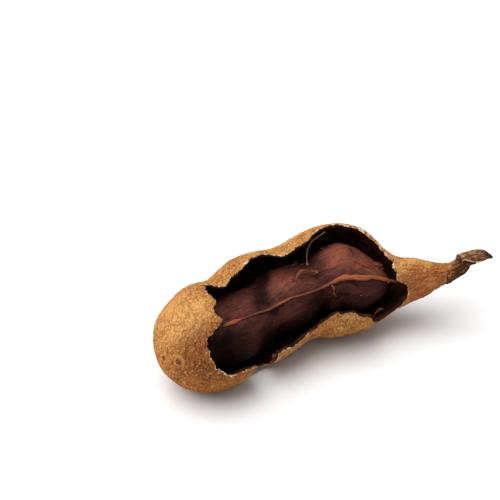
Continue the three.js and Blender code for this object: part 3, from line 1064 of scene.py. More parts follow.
@dataclass
class Loft:
    """A closed surface of rings round a spine."""

    spine: Spine
    profile: Profile
    wide: float = 1.0
    tall: float = 1.0
    swell: Swell = unswollen
    grain_radius: float = 8.0  # radius of the straightened loft that grain is painted on

    def place(self, along: np.ndarray, turn: np.ndarray, out: np.ndarray) -> np.ndarray:
        """Points at (along, turn, out).

        Args:
            along: millimetres along the spine.
            turn: degrees round it.
            out: radii.

        Returns:
            One row for each point.
        """
        front, up = self.spine.axes(along)
        angle = np.radians(turn)
        side = (out * self.wide * np.cos(angle))[..., None]
        rise = (out * self.tall * np.sin(angle))[..., None]
        return self.spine.point(along) + front * side + up * rise

    def surface(self, along: np.ndarray, turn: np.ndarray, lift: np.ndarray) -> np.ndarray:
        """Points on the surface, or lifted off it."""
        return self.place(along, turn, self.profile.radius(along) + self.swell(along, turn) + lift)

    def form(self, spacing: float, sides: int, finish: int = 0) -> Form:
        """Builds the surface.

        Args:
            spacing: millimetres between two rings over the surface.
            sides: points on each ring.
            finish: material number of its faces.

        Returns:
            The closed form.
        """
        stations = self.profile.stations(spacing)
        rings = stations[stations[:, 1] > TINY]
        first, last = stations[0, 0], stations[-1, 0]
        turns = np.arange(sides) * 360.0 / sides
        along, turn = (grid.ravel() for grid in np.meshgrid(rings[:, 0], turns, indexing="ij"))
        skin = self.place(along, turn, np.repeat(rings[:, 1], sides) + self.swell(along, turn))
        tips = self.spine.point(np.array([first, last]))
        angle = np.radians(turn)
        wrap = np.stack([along, self.grain_radius * np.cos(angle), self.grain_radius * np.sin(angle)], -1)
        grain = np.vstack([[first, 0, 0], wrap, [last, 0, 0]])

        end = len(skin) + 1
        starts = range(1, end, sides)  # the first point of each ring
        faces: list[tuple[int, ...]] = []
        for here, there in around(sides):
            faces.append((0, starts[0] + here, starts[0] + there))
            faces.append((end, starts[-1] + there, starts[-1] + here))
        for low, high in zip(starts, starts[1:]):
            faces.extend((low + here, high + here, high + there, low + there)
                         for here, there in around(sides))
        return Form(np.vstack([tips[0], skin, tips[1]]), faces, grain, finish)


# ---- mesh work ---------------------------------------------------------------------------------------


def settle(piece: bpy.types.Object) -> None:
    """Applies every modifier of a piece.

    Args:
        piece: the object, which keeps its materials.
    """
    depsgraph = bpy.context.evaluated_depsgraph_get()
    mesh = bpy.data.meshes.new_from_object(piece.evaluated_get(depsgraph))
    old = piece.data
    piece.modifiers.clear()
    piece.data = mesh
    mesh.name = piece.name
    bpy.data.meshes.remove(old)


def raise_relief(piece: bpy.types.Object, relief: Callable[[Direction, Direction], Value]) -> None:
    """Moves a piece's points along their normals by a pattern.

    Args:
        piece: the object.
        relief: gives the height in millimetres from the place and the straightened place.
    """
    tree = bpy.data.node_groups.new("relief", "GeometryNodeTree")
    for way in ("INPUT", "OUTPUT"):
        tree.interface.new_socket("Geometry", in_out=way, socket_type="NodeSocketGeometry")
    graph = Graph(tree)
    source = Link(graph, graph.node("NodeGroupInput", {}, {}).outputs[0])
    place = graph.vector("GeometryNodeInputPosition", 0, {}, {}) * (1 / MM)
    normal = graph.vector("GeometryNodeInputNormal", 0, {}, {})
    kept = {"data_type": "FLOAT_VECTOR"}
    grain = graph.vector("GeometryNodeInputNamedAttribute", 0, kept, {"Name": GRAIN})
    offset = normal * (relief(place, grain) * MM)
    moved = graph.node("GeometryNodeSetPosition", {}, {"Geometry": source, "Offset": offset})
    graph.node("NodeGroupOutput", {}, {0: Link(graph, moved.outputs[0])})
    piece.modifiers.new("relief", "NODES").node_group = tree
    settle(piece)
    bpy.data.node_groups.remove(tree)


class Combine(Enum):
    """What is done with other solids, by the modifier's own names."""

    CUT = "DIFFERENCE"
    JOIN = "UNION"


def combine(piece: bpy.types.Object, others: Sequence[bpy.types.Object], how: Combine) -> None:
    """Cuts other solids from a piece or joins them to it, and removes them.

    Args:
        piece: the object that is changed.
        others: closed solids with the same material slots.
        how: what is done with them.
    """
    for other in others:
        cut = piece.modifiers.new("combine", "BOOLEAN")
        cut.operation = how.value
        cut.solver = "MANIFOLD"
        cut.object = other
        other.hide_render = True
    settle(piece)
    for other in others:
        mesh = other.data
        bpy.data.objects.remove(other)
        bpy.data.meshes.remove(mesh)


def add_piece(piece: bpy.types.Object, slot: str, *nodes: str) -> bpy.types.Object:
    """Puts a finished piece on the part's body.

    Args:
        piece: the object.
        slot: not used.
        nodes: the nodes of the frame that it stands for.

    Returns:
        The piece.
    """
    if nodes:
        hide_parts(*nodes)
    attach(piece, ROOT)
    log.info("%s: %d faces", piece.name, len(piece.data.polygons))
    return piece


def even_noise(count: int, smooth: int, seed: int) -> np.ndarray:
    """Random numbers of about -1 to 1 round a closed loop.

    Args:
        count: how many.
        smooth: how many neighbours are averaged.
        seed: what the numbers start from.

    Returns:
        The numbers.
    """
    raw = np.random.default_rng(seed).uniform(-1, 1, count)
    window = np.hanning(2 * smooth + 3)
    wrapped = np.concatenate([raw[-smooth - 1:], raw, raw[:smooth + 1]])
    rounded = np.convolve(wrapped, window / window.sum(), "valid")[:count]
    return rounded / np.abs(rounded).max()


def ramp(values: np.ndarray, ends: Pair) -> np.ndarray:
    """Numbers from 0 to 1 as the values run from the first end to the second."""
    return np.clip((values - ends[0]) / (ends[1] - ends[0]), 0, 1)


# ---- shell -------------------------------------------------------------------------------------------

RANDOM_STEP, RANDOM_RANGE = 16807, 2147483647  # a small generator, so the rim's teeth never change


class Layer(IntEnum):
    """Material numbers of the shell."""

    RIND = 0
    LINING = 1
    BREAK = 2


@dataclass
class PodForm:
    """The pod's outer form, which the shell, the pulp's spine and the hanging fibre are set out from."""

    spine: Sequence[Triple] = (
        (-42.9, -9.5, 12), (-32.8, -5.2, 11.65), (-21.8, -1.4, 12), (-10.8, 1.6, 12.4), (0.2, 3, 12.9),
        (10.2, 1.4, 13.35), (18.7, -3.3, 12.5), (26.2, -5.3, 12.8), (32.8, -8, 14.1),
    )
    girth: Sequence[Pair] = (
        (0, 0), (0.3, 2.5), (1, 4.6), (2.4, 7), (4.6, 9.4), (7.6, 11.2), (11.5, 12.3), (15.5, 12.5),
        (19, 12.3), (23, 12.8), (27.5, 13.2), (32, 12.9), (37, 12.3), (41, 12.5), (45, 13.4), (49, 14.1),
        (53, 14.3), (56.5, 13.9), (59.5, 12.7), (62.5, 10.4), (65.5, 8), (68.5, 6.4), (71.5, 5.5),
        (74.3, 4.75), (76.6, 3.8), (78.4, 3.05), (80.2, 2.72),
    )
    neck_lip: Sequence[Pair] = ((80.9, 2.55), (81, 2.2), (81, 0))
    # Fuller places along the back: how far round their ridge is, and (distance from the tip, extra).
    back_turn: float = 145.0
    back_power: int = 3  # the ridge is narrower with a higher power
    back: Sequence[Pair] = (
        (0, 0), (3.5, 0), (8, 0.5), (12, 0.75), (16, 1.35), (18.5, 1.25), (21, 0.3), (23.5, 0), (26, 0.15),
        (28, 0.5), (30, 1), (32.5, 1.25), (35, 1.15), (38, 0.55), (41, 0.15), (44, 0), (81, 0),
    )
    reach: float = 9.0  # half the chord of the spine that turns a ring
    wide: float = 1.03
    tall: float = 0.95
    dents: Sequence[Wave] = (Wave(0.16, 2, 0.31), Wave(0.112, -3, 0.52, 1.0))
    dented: float = 8.0  # they get shallower where the pod's radius is under this
    wall: float = 0.9
    hollow_end: float = 66.0  # the hollow follows the skin up to here, and closes along its tail
    hollow_tail: Sequence[Pair] = ((68.5, 4.4), (71, 2.6), (72.5, 0))
    hollow_step: float = 0.25  # least distance between two points of the hollow's outline
    hollow_least: float = 0.5  # its smallest radius next to the tip

    def swell(self, along: np.ndarray, turn: np.ndarray) -> np.ndarray:
        """Shallow dents and bulges of the skin, fading towards the belly, and its fuller back.

        Args:
            along: millimetres along the spine.
            turn: degrees round it.

        Returns:
            Extra radius.
        """
        fade = (1 + np.sin(np.radians(turn))) / 2
        thin = np.minimum(1, Profile(self.girth).radius(along) / self.dented)
        behind = np.maximum(0, np.cos(np.radians(turn - self.back_turn))) ** self.back_power
        dents = sum(dent.at(along, turn) for dent in self.dents) * fade * thin
        return dents + Profile(self.back).radius(along) * behind

    def outer(self) -> Loft:
        """The outer skin."""
        spine = Spine(self.spine, self.reach)
        return Loft(spine, Profile(self.girth, self.neck_lip), self.wide, self.tall, self.swell)

    def inner(self) -> Loft:
        """The wall of the hollow: the outer skin moved in by the wall, closed inside the neck.

        Returns:
            The loft.
        """
        line = Profile(self.girth).line
        slope = unit(np.gradient(line, axis=0))
        moved = line + self.wall * np.stack([slope[:, 1], -slope[:, 0]], -1)
        pairs: list[Pair] = [(self.wall, 0.0)]
        for along, radius in moved:
            if pairs[-1][0] + self.hollow_step < along < self.hollow_end and radius > self.hollow_least:
                pairs.append((float(along), float(radius)))
        profile = Profile([*pairs, *self.hollow_tail])
        return Loft(Spine(self.spine, self.reach), profile, self.wide, self.tall, self.swell)


@dataclass
class Shell:
    """The brittle shell with its broken opening."""

    pod: PodForm
    rim: Sequence[Pair] = (
        (16, 105), (16.7, 109), (17.5, 118), (18.2, 108), (20, 94), (22, 98), (26, 102), (31, 109),
        (35, 108), (38.5, 93), (41.5, 96), (45.5, 97), (50.5, 113), (52, 118), (56, 119), (59.5, 117),
        (62.5, 111), (65, 95), (66.5, 91), (65.5, 72), (66.5, 55), (66.5, 39), (69.2, 27), (69.2, -4),
        (67.5, -36), (64.5, -42), (62, -35), (59.5, -10), (54.5, 0), (50, 3), (46, 6), (42.5, -1),
        (39, -12), (31.5, -14), (26, -12), (24.1, -15), (24.6, -32), (25.3, -54), (24, -59), (19.6, -60),
        (18.4, -38), (17.9, -22), (16.8, -17), (13, -9), (7.7, -6), (5.2, 8), (4.8, 29), (5.1, 43),
        (6.1, 53), (7.3, 52), (8.3, 56), (10.2, 56.5), (12.1, 60.5), (11.5, 70), (12.3, 77), (14.5, 82),
        (14.8, 95),
    )
    mm_per_degree: float = 0.2  # scale at which the rim's outline is worked out
    tooth_step: float = 1.8
    tooth_depth: float = 0.35
    tooth_seed: int = 7
    rim_step: float = 0.32  # spacing of the fine outline
    # Levels of the break from inside out. The first and the last are a share of the pod's radius and a
    # distance, and those between are distances from its skin.
    core: Pair = (0.5, 0.0)
    depths: Sequence[float] = (-1.3, -0.85, -0.6, -0.4, -0.25, -0.12, 0.0, 0.35)
    clear: Pair = (1.0, 2.0)
    # Each noise of the break: how much, how many neighbours it is smoothed over, and its seed.
    ragged: Sequence[tuple[float, int, int]] = ((0.17, 1, 11), (0.12, 4, 12))
    # Noises of each level, which adds its number to their seeds.
    ragged_level: Sequence[tuple[float, int, int]] = ((0.12, 1, 20), (0.07, 3, 40))
    ragged_pale: tuple[float, int, int] = (0.2, 2, 17)
    chip_noise: tuple[float, int, int] = (1.0, 4, 13)
    chip: Pair = (0.16, 0.4)  # least and most that the outer skin chips back from the rim
    chip_depth: float = 0.3  # it chips down to here
    pale_depth: float = -0.41  # the break is pale down to here, then as dark as the lining
    back_from: float = 60.0  # turn from where the rim is the back one
    torn_back: Pair = (53.5, 57.0)  # where along the pod the back rim's pale band gets deeper
    torn_depth: float = 0.9
    front_to: float = 40.0  # turn up to where the rim is the front one
    flaked_tip: Pair = (19.0, 17.0)  # where along the pod the front rim near the tip flakes more
    flaking: float = 1.4
    dull_front: Sequence[Pair] = ((26.0, 30.0), (70.0, 66.0))  # where the front rim's pale band is thinner
    dull_share: float = 0.3
    ring_spacing: float = 0.285
    ring_sides: int = 276
    hollow_spacing: float = 0.8
    hollow_sides: int = 96
    sunk: float = 0.16  # how far the scurf's gaps lie under the solid's skin
    cap_step: Pair = (2.2, 1.7)  # spacing of the points inside the caps of the plate that cuts the opening
    cap_start: Pair = (1.0, 0.8)
    cap_clear: float = 0.8  # and their least distance from its outline
    below: Triple = (60.0, 30.0, -10.0)  # the block under the floor: half its length and width, its bottom
    wrinkles: Blobs = Blobs(3.0, 3.0, 0.5, 0.3)  # of the lining
    wrinkle_height: float = 0.3

    def rim_outline(self) -> np.ndarray:
        """The rim with its teeth.

        Returns:
            (along, turn scaled to millimetres) rows, anticlockwise.
        """
        state = self.tooth_seed
        outline: list[np.ndarray] = []
        knots = np.array(self.rim, float) * (1, self.mm_per_degree)
        for here, there in zip(knots, np.roll(knots, -1, axis=0)):
            run = there - here
            length = float(np.linalg.norm(run))
            pieces = max(1, math.floor(length / self.tooth_step + 0.5))
            across = np.array([-run[1], run[0]]) / length
            outline.append(here)
            for piece in range(1, pieces):
                state = state * RANDOM_STEP % RANDOM_RANGE
                tooth = self.tooth_depth * (2 * state / RANDOM_RANGE - 1)
                outline.append(here + run * piece / pieces + across * tooth)
        return np.array(outline)[::-1]

    def fine_outline(self) -> tuple[np.ndarray, np.ndarray]:
        """The rim in even small steps.

        Returns:
            The points, and the direction away from the opening at each.
        """
        coarse = self.rim_outline()
        closed = np.vstack([coarse, coarse[:1]])
        marks = distances(closed)
        count = round(marks[-1] / self.rim_step)
        fine = sampled(marks, closed, np.arange(count) * marks[-1] / count)
        run = unit(np.roll(fine, -1, axis=0) - np.roll(fine, 1, axis=0))
        return fine, np.stack([run[:, 1], -run[:, 0]], -1)

    def lifted(self, rows: np.ndarray, share: float, lift: float) -> np.ndarray:
        """Outline rows as points on the pod.

        Args:
            rows: (along, turn scaled to millimetres) rows.
            share: share of the pod's radius that they are out from its spine.
            lift: and millimetres more.

        Returns:
            One point for each row.
        """
        outer = self.pod.outer()
        along, turn = rows[:, 0], rows[:, 1] / self.mm_per_degree
        radius = outer.profile.radius(along) + outer.swell(along, turn)
        return outer.place(along, turn, radius * share + lift)

    def cap(self, outline: np.ndarray) -> tuple[np.ndarray, list[tuple[int, int, int]]]:
        """A flat mesh inside an outline.

        Args:
            outline: the outline, anticlockwise.

        Returns:
            The outline's points and those inside it, and the triangles between them.
        """
        low, high = outline.min(axis=0), outline.max(axis=0)
        across, up = (np.arange(low[k] + self.cap_start[k], high[k], self.cap_step[k]) for k in range(2))
        grid = np.stack(np.meshgrid(across, up), -1).reshape(-1, 2)
        flat = np.vstack([outline, *(point for point in grid if self.within(point, outline))])
        made = geometry.delaunay_2d_cdt([Vector(p) for p in flat], around(len(outline)), [], 1, TINY)
        origin = [ids[0] for ids in made[3]]
        triangles = []
        for a, b, c in ([origin[k] for k in face] for face in made[2]):
            turn = np.cross(flat[b] - flat[a], flat[c] - flat[a])
            triangles.append((a, b, c) if turn > 0 else (a, c, b))
        return flat, triangles

    def within(self, point: np.ndarray, outline: np.ndarray) -> bool:
        """Whether a point is well inside an outline.

        Args:
            point: the point.
            outline: the outline.

        Returns:
            True where it is.
        """
        if np.linalg.norm(outline - point, axis=1).min() < self.cap_clear:
            return False
        here, there = outline, np.roll(outline, -1, axis=0)
        spans = (here[:, 1] > point[1]) != (there[:, 1] > point[1])
        slope = (there[:, 0] - here[:, 0]) / np.where(spans, there[:, 1] - here[:, 1], 1)
        crossings = here[:, 0] + (point[1] - here[:, 1]) * slope
        return bool(np.count_nonzero(spans & (crossings > point[0])) % 2)

    def opening(self) -> Form:
        """The ragged plate that breaks the opening.

        Returns:
            The closed form.
        """
        outline, away = self.fine_outline()
        count = len(outline)

        def noise(amount: float, smooth: int, seed: int) -> np.ndarray:
            """Random numbers of about an amount, one for each point of the outline."""
            return amount * even_noise(count, smooth, seed)

        along, turn = outline[:, 0], outline[:, 1] / self.mm_per_degree
        front = turn < self.front_to
        flaked = 1 + self.flaking * ramp(along, self.flaked_tip) * front
        chips = self.chip[0] + np.clip(noise(*self.chip_noise), 0, 1) * (self.chip[1] - self.chip[0])
        torn = self.torn_depth * ramp(along, self.torn_back) * (turn > self.back_from)
        dull = self.dull_share * ramp(along, self.dull_front[0]) * ramp(along, self.dull_front[1]) * front
        pale = self.pale_depth - torn + noise(*self.ragged_pale) + dull
        ragged = sum(noise(*each) for each in self.ragged)

        flat, triangles = self.cap(outline)
        points = [self.lifted(flat, *self.core)]
        layers = [np.full(count, Layer.LINING)]
        for level, depth in enumerate(self.depths):
            own = sum(noise(amount, smooth, seed + level) for amount, smooth, seed in self.ragged_level)
            chipped = flaked * chips * np.clip(1 + depth / self.chip_depth, 0, 1)
            points.append(self.lifted(outline + away * (ragged + own + chipped)[:, None], 1.0, depth))
            layers.append(np.where(depth >= pale, Layer.BREAK, Layer.LINING))
        points.append(self.lifted(flat, *self.clear))

        starts = np.cumsum([0, *(len(rows) for rows in points[:-1])]).tolist()
        faces: list[tuple[int, ...]] = [(a, c, b) for a, b, c in triangles]
        faces += [tuple(k + starts[-1] for k in face) for face in triangles]
        numbers = [int(Layer.BREAK)] * len(faces)
        for low, high, layer in zip(starts, starts[1:], layers):
            faces += [(low + here, low + there, high + there, high + here) for here, there in around(count)]
            numbers += layer.tolist()
        return Form(np.vstack(points), faces, None, numbers)

    def under_floor(self) -> Form:
        """The block under the floor, which leaves a flat spot under each swelling.

        Returns:
            The closed form.
        """
        x, y, bottom = self.below
        corners = [(side * x, way * y, z) for z in (bottom, 0.0)
                   for side, way in ((-1, -1), (1, -1), (1, 1), (-1, 1))]
        faces = [(0, 3, 2, 1), (4, 5, 6, 7), (0, 1, 5, 4), (1, 2, 6, 5), (2, 3, 7, 6), (3, 0, 4, 7)]
        return Form(np.array(corners), faces, None, Layer.RIND)

    def build(self) -> bpy.types.Object:
        """Builds and dresses the shell.

        Returns:
            The shell, on its body.
        """
        finishes = (RIND, LINING, BREAK)
        skin = self.pod.outer().form(self.ring_spacing, self.ring_sides, Layer.RIND)
        piece = skin.mesh_object("pod_shell", finishes)
        raise_relief(piece, self.skin_relief)
        wall = self.pod.inner().form(self.hollow_spacing, self.hollow_sides, Layer.LINING)
        hollow = wall.mesh_object("hollow", finishes)
        raise_relief(hollow, self.lining_relief)
        opening = self.opening().mesh_object("opening", finishes)
        floor = self.under_floor().mesh_object("under_floor", finishes)
        combine(piece, [hollow, opening, floor], Combine.CUT)
        numbers = np.zeros(len(piece.data.polygons), dtype=np.int32)
        piece.data.polygons.foreach_get("material_index", numbers)
        piece.data.polygons.foreach_set("use_smooth", numbers != Layer.BREAK)
        return add_piece(piece, "shell", "shell")

    def skin_relief(self, place: Direction, grain: Direction) -> Value:
        """Height of the scurf over the solid's skin, in millimetres."""
        return RIND.scurf.relief(place, grain) - self.sunk

    def lining_relief(self, place: Direction, grain: Direction) -> Value:
        """Soft wrinkles of the lining, in millimetres."""
        return (self.wrinkles.at(grain) - 0.5) * self.wrinkle_height


# ---- pulp and fibres ---------------------------------------------------------------------------------


@dataclass
class Pulp:
    """The dried pulp that fills the shell."""

    pod: PodForm
    offsets: Sequence[Triple] = (
        (2.4, -0.8, -0.8), (7, -0.9, -1.2), (13, -1, -1.6), (21, -1, -2), (30, -1, -2.1), (38, -1, -2),
        (46, -1.4, -1.7), (53.5, -2.1, -0.8), (59, -0.8, -1.8), (63, -0.4, -1), (67, 0, -0.5),
    )
    girth: Sequence[Pair] = (
        (0, 0), (0.4, 2.6), (2.2, 5.5), (5, 6.7), (9.5, 6), (14, 7.3), (18.5, 8.1), (22.5, 8.1),
        (26.5, 7.6), (30, 6.9), (33.5, 7.7), (37.5, 8.2), (41.5, 7.4), (44.8, 6.4), (48, 7.8),
        (51.5, 8.6), (55, 8.5), (58.5, 7.3), (61.5, 5), (64, 2.7), (65.5, 0),
    )
    # The ridge under the main fibre: its place along and its turn at two places, its height and width.
    ridge_ends: tuple[Pair, Pair] = ((10.0, 51.0), (50.0, 36.0))
    ridge: float = 0.5
    ridge_width: float = 20.0
    wrinkles: Sequence[Wave] = (Wave(0.16, 5, 0.25), Wave(0.1, 9, -0.4))
    wrinkled: float = 6.0  # they get shallower where the pulp's radius is under this
    # Its skin: patterns, and their heights.
    sway: Sway = Sway(7.0, 2.2)
    lumps: Blobs = Blobs(4.5)
    lump_height: float = 0.9
    folds: Blobs = Blobs(1.3, along=0.16)
    threads: Blobs = Blobs(0.45, along=0.12)
    thread_height: float = 0.34
    upper: Step = Step(-7.0, 1.0, 0.75)  # the upper side is rougher
    least_rough: float = 0.25
    # Pleats beside the main fibre: between these heights and along here.
    pleated: tuple[Step, Step] = (Step(5.7, 6.1), Step(7.5, 7.0))
    pleats_along: tuple[Step, Step] = (Step(18.0, 24.0), Step(44.0, 38.0))
    pleats: float = 2.1  # how many there are in a millimetre
    pleat_depth: float = 0.22
    raised: float = 0.06
    ring_spacing: float = 0.3
    ring_sides: int = 190

    def swell(self, along: np.ndarray, turn: np.ndarray) -> np.ndarray:
        """Ridge under the main fibre and shallow wrinkles.

        Args:
            along: millimetres along the pulp's spine.
            turn: degrees round it.

        Returns:
            Extra radius.
        """
        (start, first), (end, last) = self.ridge_ends
        ridge_turn = first + (along - start) * (last - first) / (end - start)
        from_ridge = (turn - ridge_turn + 180) % 360 - 180
        ridge = self.ridge * np.exp(-((from_ridge / self.ridge_width) ** 2))
        wrinkles = sum(wrinkle.at(along, turn) for wrinkle in self.wrinkles)
        return (ridge + wrinkles) * np.minimum(1, Profile(self.girth).radius(along) / self.wrinkled)

    def loft(self) -> Loft:
        """The pulp's surface.

        Returns:
            The loft, round a spine of its own.
        """
        pod = Spine(self.pod.spine, self.pod.reach)
        along, to_front, to_top = np.array(self.offsets, float).T[..., None]
        front, up = pod.axes(along[:, 0])
        points = pod.point(along[:, 0]) + front * to_front + up * to_top
        return Loft(Spine(points, self.pod.reach), Profile(self.girth), swell=self.swell)

    def relief(self, place: Direction, grain: Direction) -> Value:
        """Lumps and drawn wrinkles, stronger on the upper side.

        Args:
            place: the place, in millimetres.
            grain: the place on the straightened pulp.

        Returns:
            The height, in millimetres.
        """
        swirled = self.sway.of(grain)
        along, height = grain.part(0), swirled.part(2)
        lumps = (self.lumps.at(place) - 0.5) * self.lump_height
        folds = abs(self.folds.at(swirled) - 0.5)
        threads = (self.threads.at(swirled) - 0.5) * self.thread_height
        pleats = abs((height * self.pleats).wave()) * self.pleat_depth
        for where, steps in ((height, self.pleated), (along, self.pleats_along)):
            for step in steps:
                pleats = pleats * step.of(where)
        upper = self.upper.of(grain.part(2)) + self.least_rough
        return (lumps - folds + threads - pleats + self.raised) * upper

    def build(self) -> bpy.types.Object:
        """Builds and dresses the pulp.

        Returns:
            The pulp, on its body.
        """
        piece = self.loft().form(self.ring_spacing, self.ring_sides).mesh_object("pulp_body", (PULP,))
        raise_relief(piece, self.relief)
        return add_piece(piece, "pulp", "pulp")


@dataclass
class Fibre:
    """One strand, with threads that wind round it and fray from it."""

    name: str
    route: np.ndarray
    girth: Sequence[Pair]
    finish: Finish
    wide: float = 1.0
    tall: float = 1.0
    threads: int = 0
    seed: int = 1
    uneven: float = 0.18
    waves: Sequence[Wave] = (Wave(1.0, 0, 1.1), Wave(0.7, 2, 2.3), Wave(0.5, 6, 0.7))
    phases: float = 6.28  # each wave's phase is drawn from 0 to here, about a whole turn
    ring_spacing: float = 0.22
    ring_sides: int = 22
    grain_radius: float = 0.8
    # Each thread, with the least and the most where a number is drawn at random.
    thread_form: tuple[float, int, float] = (0.25, 8, 0.3)  # ring spacing, sides and grain radius
    thread_seeds: int = 100  # more than the strand's own seed
    thread_start: Pair = (0.02, 0.5)  # share of the strand's length
    thread_length: Pair = (0.3, 0.55)
    thread_end: float = 0.97  # it ends before this share of the strand's length
    thread_step: float = 1.6  # millimetres between two of its points
    thread_points: int = 6  # and the fewest that it has
    thread_drift: Pair = (-14.0, 17.0)  # degrees that it winds from one point to the next
    thread_turn: Pair = (20.0, 120.0)
    thread_lift: Pair = (0.75, 1.15)  # share of the strand's radius that it is out
    thread_off: float = 0.05  # and millimetres more
    thread_sink: float = 0.4  # share of its lift at its two ends
    thread_girth: Pair = (0.09, 0.17)
    thread_ends: Pair = (0.7, 0.6)  # share of its radius next to each end
    thread_taper: float = 0.12  # length of its pointed ends

    def core(self) -> Loft:
        """The strand's own body.

        Returns:
            The loft.
        """
        spine = Spine(self.route)
        scale = spine.length / self.girth[-1][0]
        profile = Profile([(along * scale, radius) for along, radius in self.girth])
        phases = np.random.default_rng(self.seed).uniform(0, self.phases, len(self.waves))
        waves = [replace(wave, phase=phase) for wave, phase in zip(self.waves, phases)]

        def swell(along: np.ndarray, turn: np.ndarray) -> np.ndarray:
            """Uneven thickness and ribs along the strand."""
            return self.uneven * profile.radius(along) * sum(wave.at(along, turn) for wave in waves)

        return Loft(spine, profile, self.wide, self.tall, swell, self.grain_radius)

    def thread(self, core: Loft, random: np.random.Generator) -> Form:
        """One thread that winds round the strand and stands off it.

        Args:
            core: the strand.
            random: the numbers it is drawn from.

        Returns:
            The closed form.
        """
        length = core.spine.length
        start = random.uniform(*self.thread_start) * length
        end = min(length * self.thread_end, start + random.uniform(*self.thread_length) * length)
        count = max(self.thread_points, int((end - start) / self.thread_step))
        along = np.linspace(start, end, count)
        drift = np.cumsum(random.uniform(*self.thread_drift, count))
        turn = random.uniform(*self.thread_turn) + drift
        lift = core.profile.radius(along) * random.uniform(*self.thread_lift, count) + self.thread_off
        lift[[0, -1]] *= self.thread_sink
        path = core.place(along, turn, lift)
        thick = random.uniform(*self.thread_girth)
        first, last = (share * thick for share in self.thread_ends)
        span, taper = distances(path)[-1], self.thread_taper
        spacing, sides, grain = self.thread_form
        girth = [(0, 0), (taper, first), (span / 2, thick), (span - taper, last), (span, 0)]
        return Loft(Spine(path), Profile(girth), grain_radius=grain).form(spacing, sides)

    def form(self) -> Form:
        """The strand and its threads as one form.

        Returns:
            The form.
        """
        core = self.core()
        whole = core.form(self.ring_spacing, self.ring_sides)
        random = np.random.default_rng(self.seed + self.thread_seeds)
        for _ in range(self.threads):
            whole = whole.joined(self.thread(core, random))
        return whole

    def build(self, slot: str, *nodes: str) -> bpy.types.Object:
        """Builds and dresses the strand, for the nodes it stands for."""
        return add_piece(self.form().mesh_object(self.name, (self.finish,)), slot, *nodes)


@dataclass
class Fibres:
    """The strands on the pulp and on the wall of the hollow."""

    pod: PodForm
    pulp: Pulp
    # Routes are (along the pulp, turn, height over it) rows, and (along the pod, turn, distance inside
    # its skin) rows for the curl and the wall's strand.
    main_route: Sequence[Triple] = (
        (12.3, 57.5, 0.1), (13.5, 56, 0.3), (15, 54, 0.3), (18, 51, 0.3), (22, 47.5, 0.3), (26.2, 43, 0.3),
        (30.5, 43, 0.5), (34, 42.5, 0.3), (37, 39, 0.3), (41, 36, 0.4), (45.3, 34.5, 0.8), (48.9, 34, 0.5),
        (52, 34, 0.6), (55, 37, 0.6), (58, 44, 0.5), (61, 50, 0.8), (64.2, 51, 1.5), (67, 51, 1.5),
    )
    main_girth: Sequence[Pair] = (
        (0, 0), (0.4, 0.14), (1.8, 0.36), (3.6, 0.52), (4.9, 0.33), (6.2, 0.14), (13, 0.12), (16, 0.24),
        (20, 0.28), (25, 0.16), (32, 0.22), (37, 0.42), (41, 0.64), (46, 0.68), (51, 0.5), (58.6, 0.3),
        (59, 0),
    )
    torn_route: Sequence[Triple] = (
        (38, 66, -0.15), (39.2, 71, 1.05), (40.7, 73, 1.75), (42.3, 70, 1.55), (43.8, 66, 0.85),
        (45, 67, -0.15),
    )
    torn_girth: Sequence[Pair] = ((0, 0), (0.3, 0.25), (4, 0.3), (8.2, 0.25), (8.6, 0))
    branch_route: Sequence[Triple] = (
        (46.9, 35, 0.2), (47.4, 30, 0.45), (47.8, 24, 0.6), (47.6, 17, 0.55), (48.1, 11, 0.6),
        (48.6, 7, 0.2),
    )
    branch_girth: Sequence[Pair] = ((0, 0), (0.3, 0.2), (2.4, 0.3), (4.4, 0.2), (4.6, 0))
    curl_route: Sequence[Triple] = (
        (62, -72, 1.2), (62.5, -69, 2.1), (63.3, -67, 2.5), (64, -70, 2.0), (64.6, -73, 1.2),
    )
    curl_girth: Sequence[Pair] = ((0, 0), (0.2, 0.25), (1.6, 0.34), (2.6, 0.22), (2.8, 0))
    wall_route: Sequence[Triple] = (
        (50.8, 112, 1.2), (49, 109, 1.8), (47.1, 105, 2.1), (45.6, 99, 3), (44.6, 91, 4.2), (44.2, 84, 5.6),
    )
    wall_girth: Sequence[Pair] = (
        (0, 0), (0.3, 0.11), (5, 0.15), (9, 0.11), (9.3, 0.15), (9.5, 0.28), (9.75, 0.24), (9.9, 0),
    )

    def on_pulp(self, route: Sequence[Triple]) -> np.ndarray:
        """Points over the pulp, from a route's rows."""
        return self.pulp.loft().surface(*np.array(route, float).T)

    def in_shell(self, route: Sequence[Triple]) -> np.ndarray:
        """Points inside the shell.

        Args:
            route: (along the pod, turn, distance inside its skin) rows.

        Returns:
            The points.
        """
        along, turn, inside = np.array(route, float).T
        outer = self.pod.outer()
        return outer.place(along, turn, outer.profile.radius(along) - inside)

    def build(self) -> list[bpy.types.Object]:
        """Builds every strand.

        Returns:
            The strands, on their body.
        """
        main = Fibre("main_strand", self.on_pulp(self.main_route), self.main_girth, MAIN_STRAND,
                     wide=1.15, tall=0.9, threads=1, seed=3, uneven=0.1)
        torn = Fibre("torn_strand", self.on_pulp(self.torn_route), self.torn_girth, STRAND,
                     threads=1, seed=5)
        wall = Fibre("wall_strand", self.in_shell(self.wall_route), self.wall_girth, PALE_STRAND, seed=8)
        branch = Fibre("branch_strand", self.on_pulp(self.branch_route), self.branch_girth, STRAND,
                       threads=1, seed=12)
        curl = Fibre("curled_strand", self.in_shell(self.curl_route), self.curl_girth, STRAND, seed=14)
        return [
            main.build("fibre", "fibre_main"),
            torn.build("fibre", "fibre_torn"),
            wall.build("fibre_pale", "fibre_wall"),
            branch.build("fibre"),
            curl.build("fibre"),
        ]


# ---- stalk -------------------------------------------------------------------------------------------


class Wood(IntEnum):
    """Material numbers of the stalk."""

    BARK = 0
    INNER = 1
    SPLIT = 2


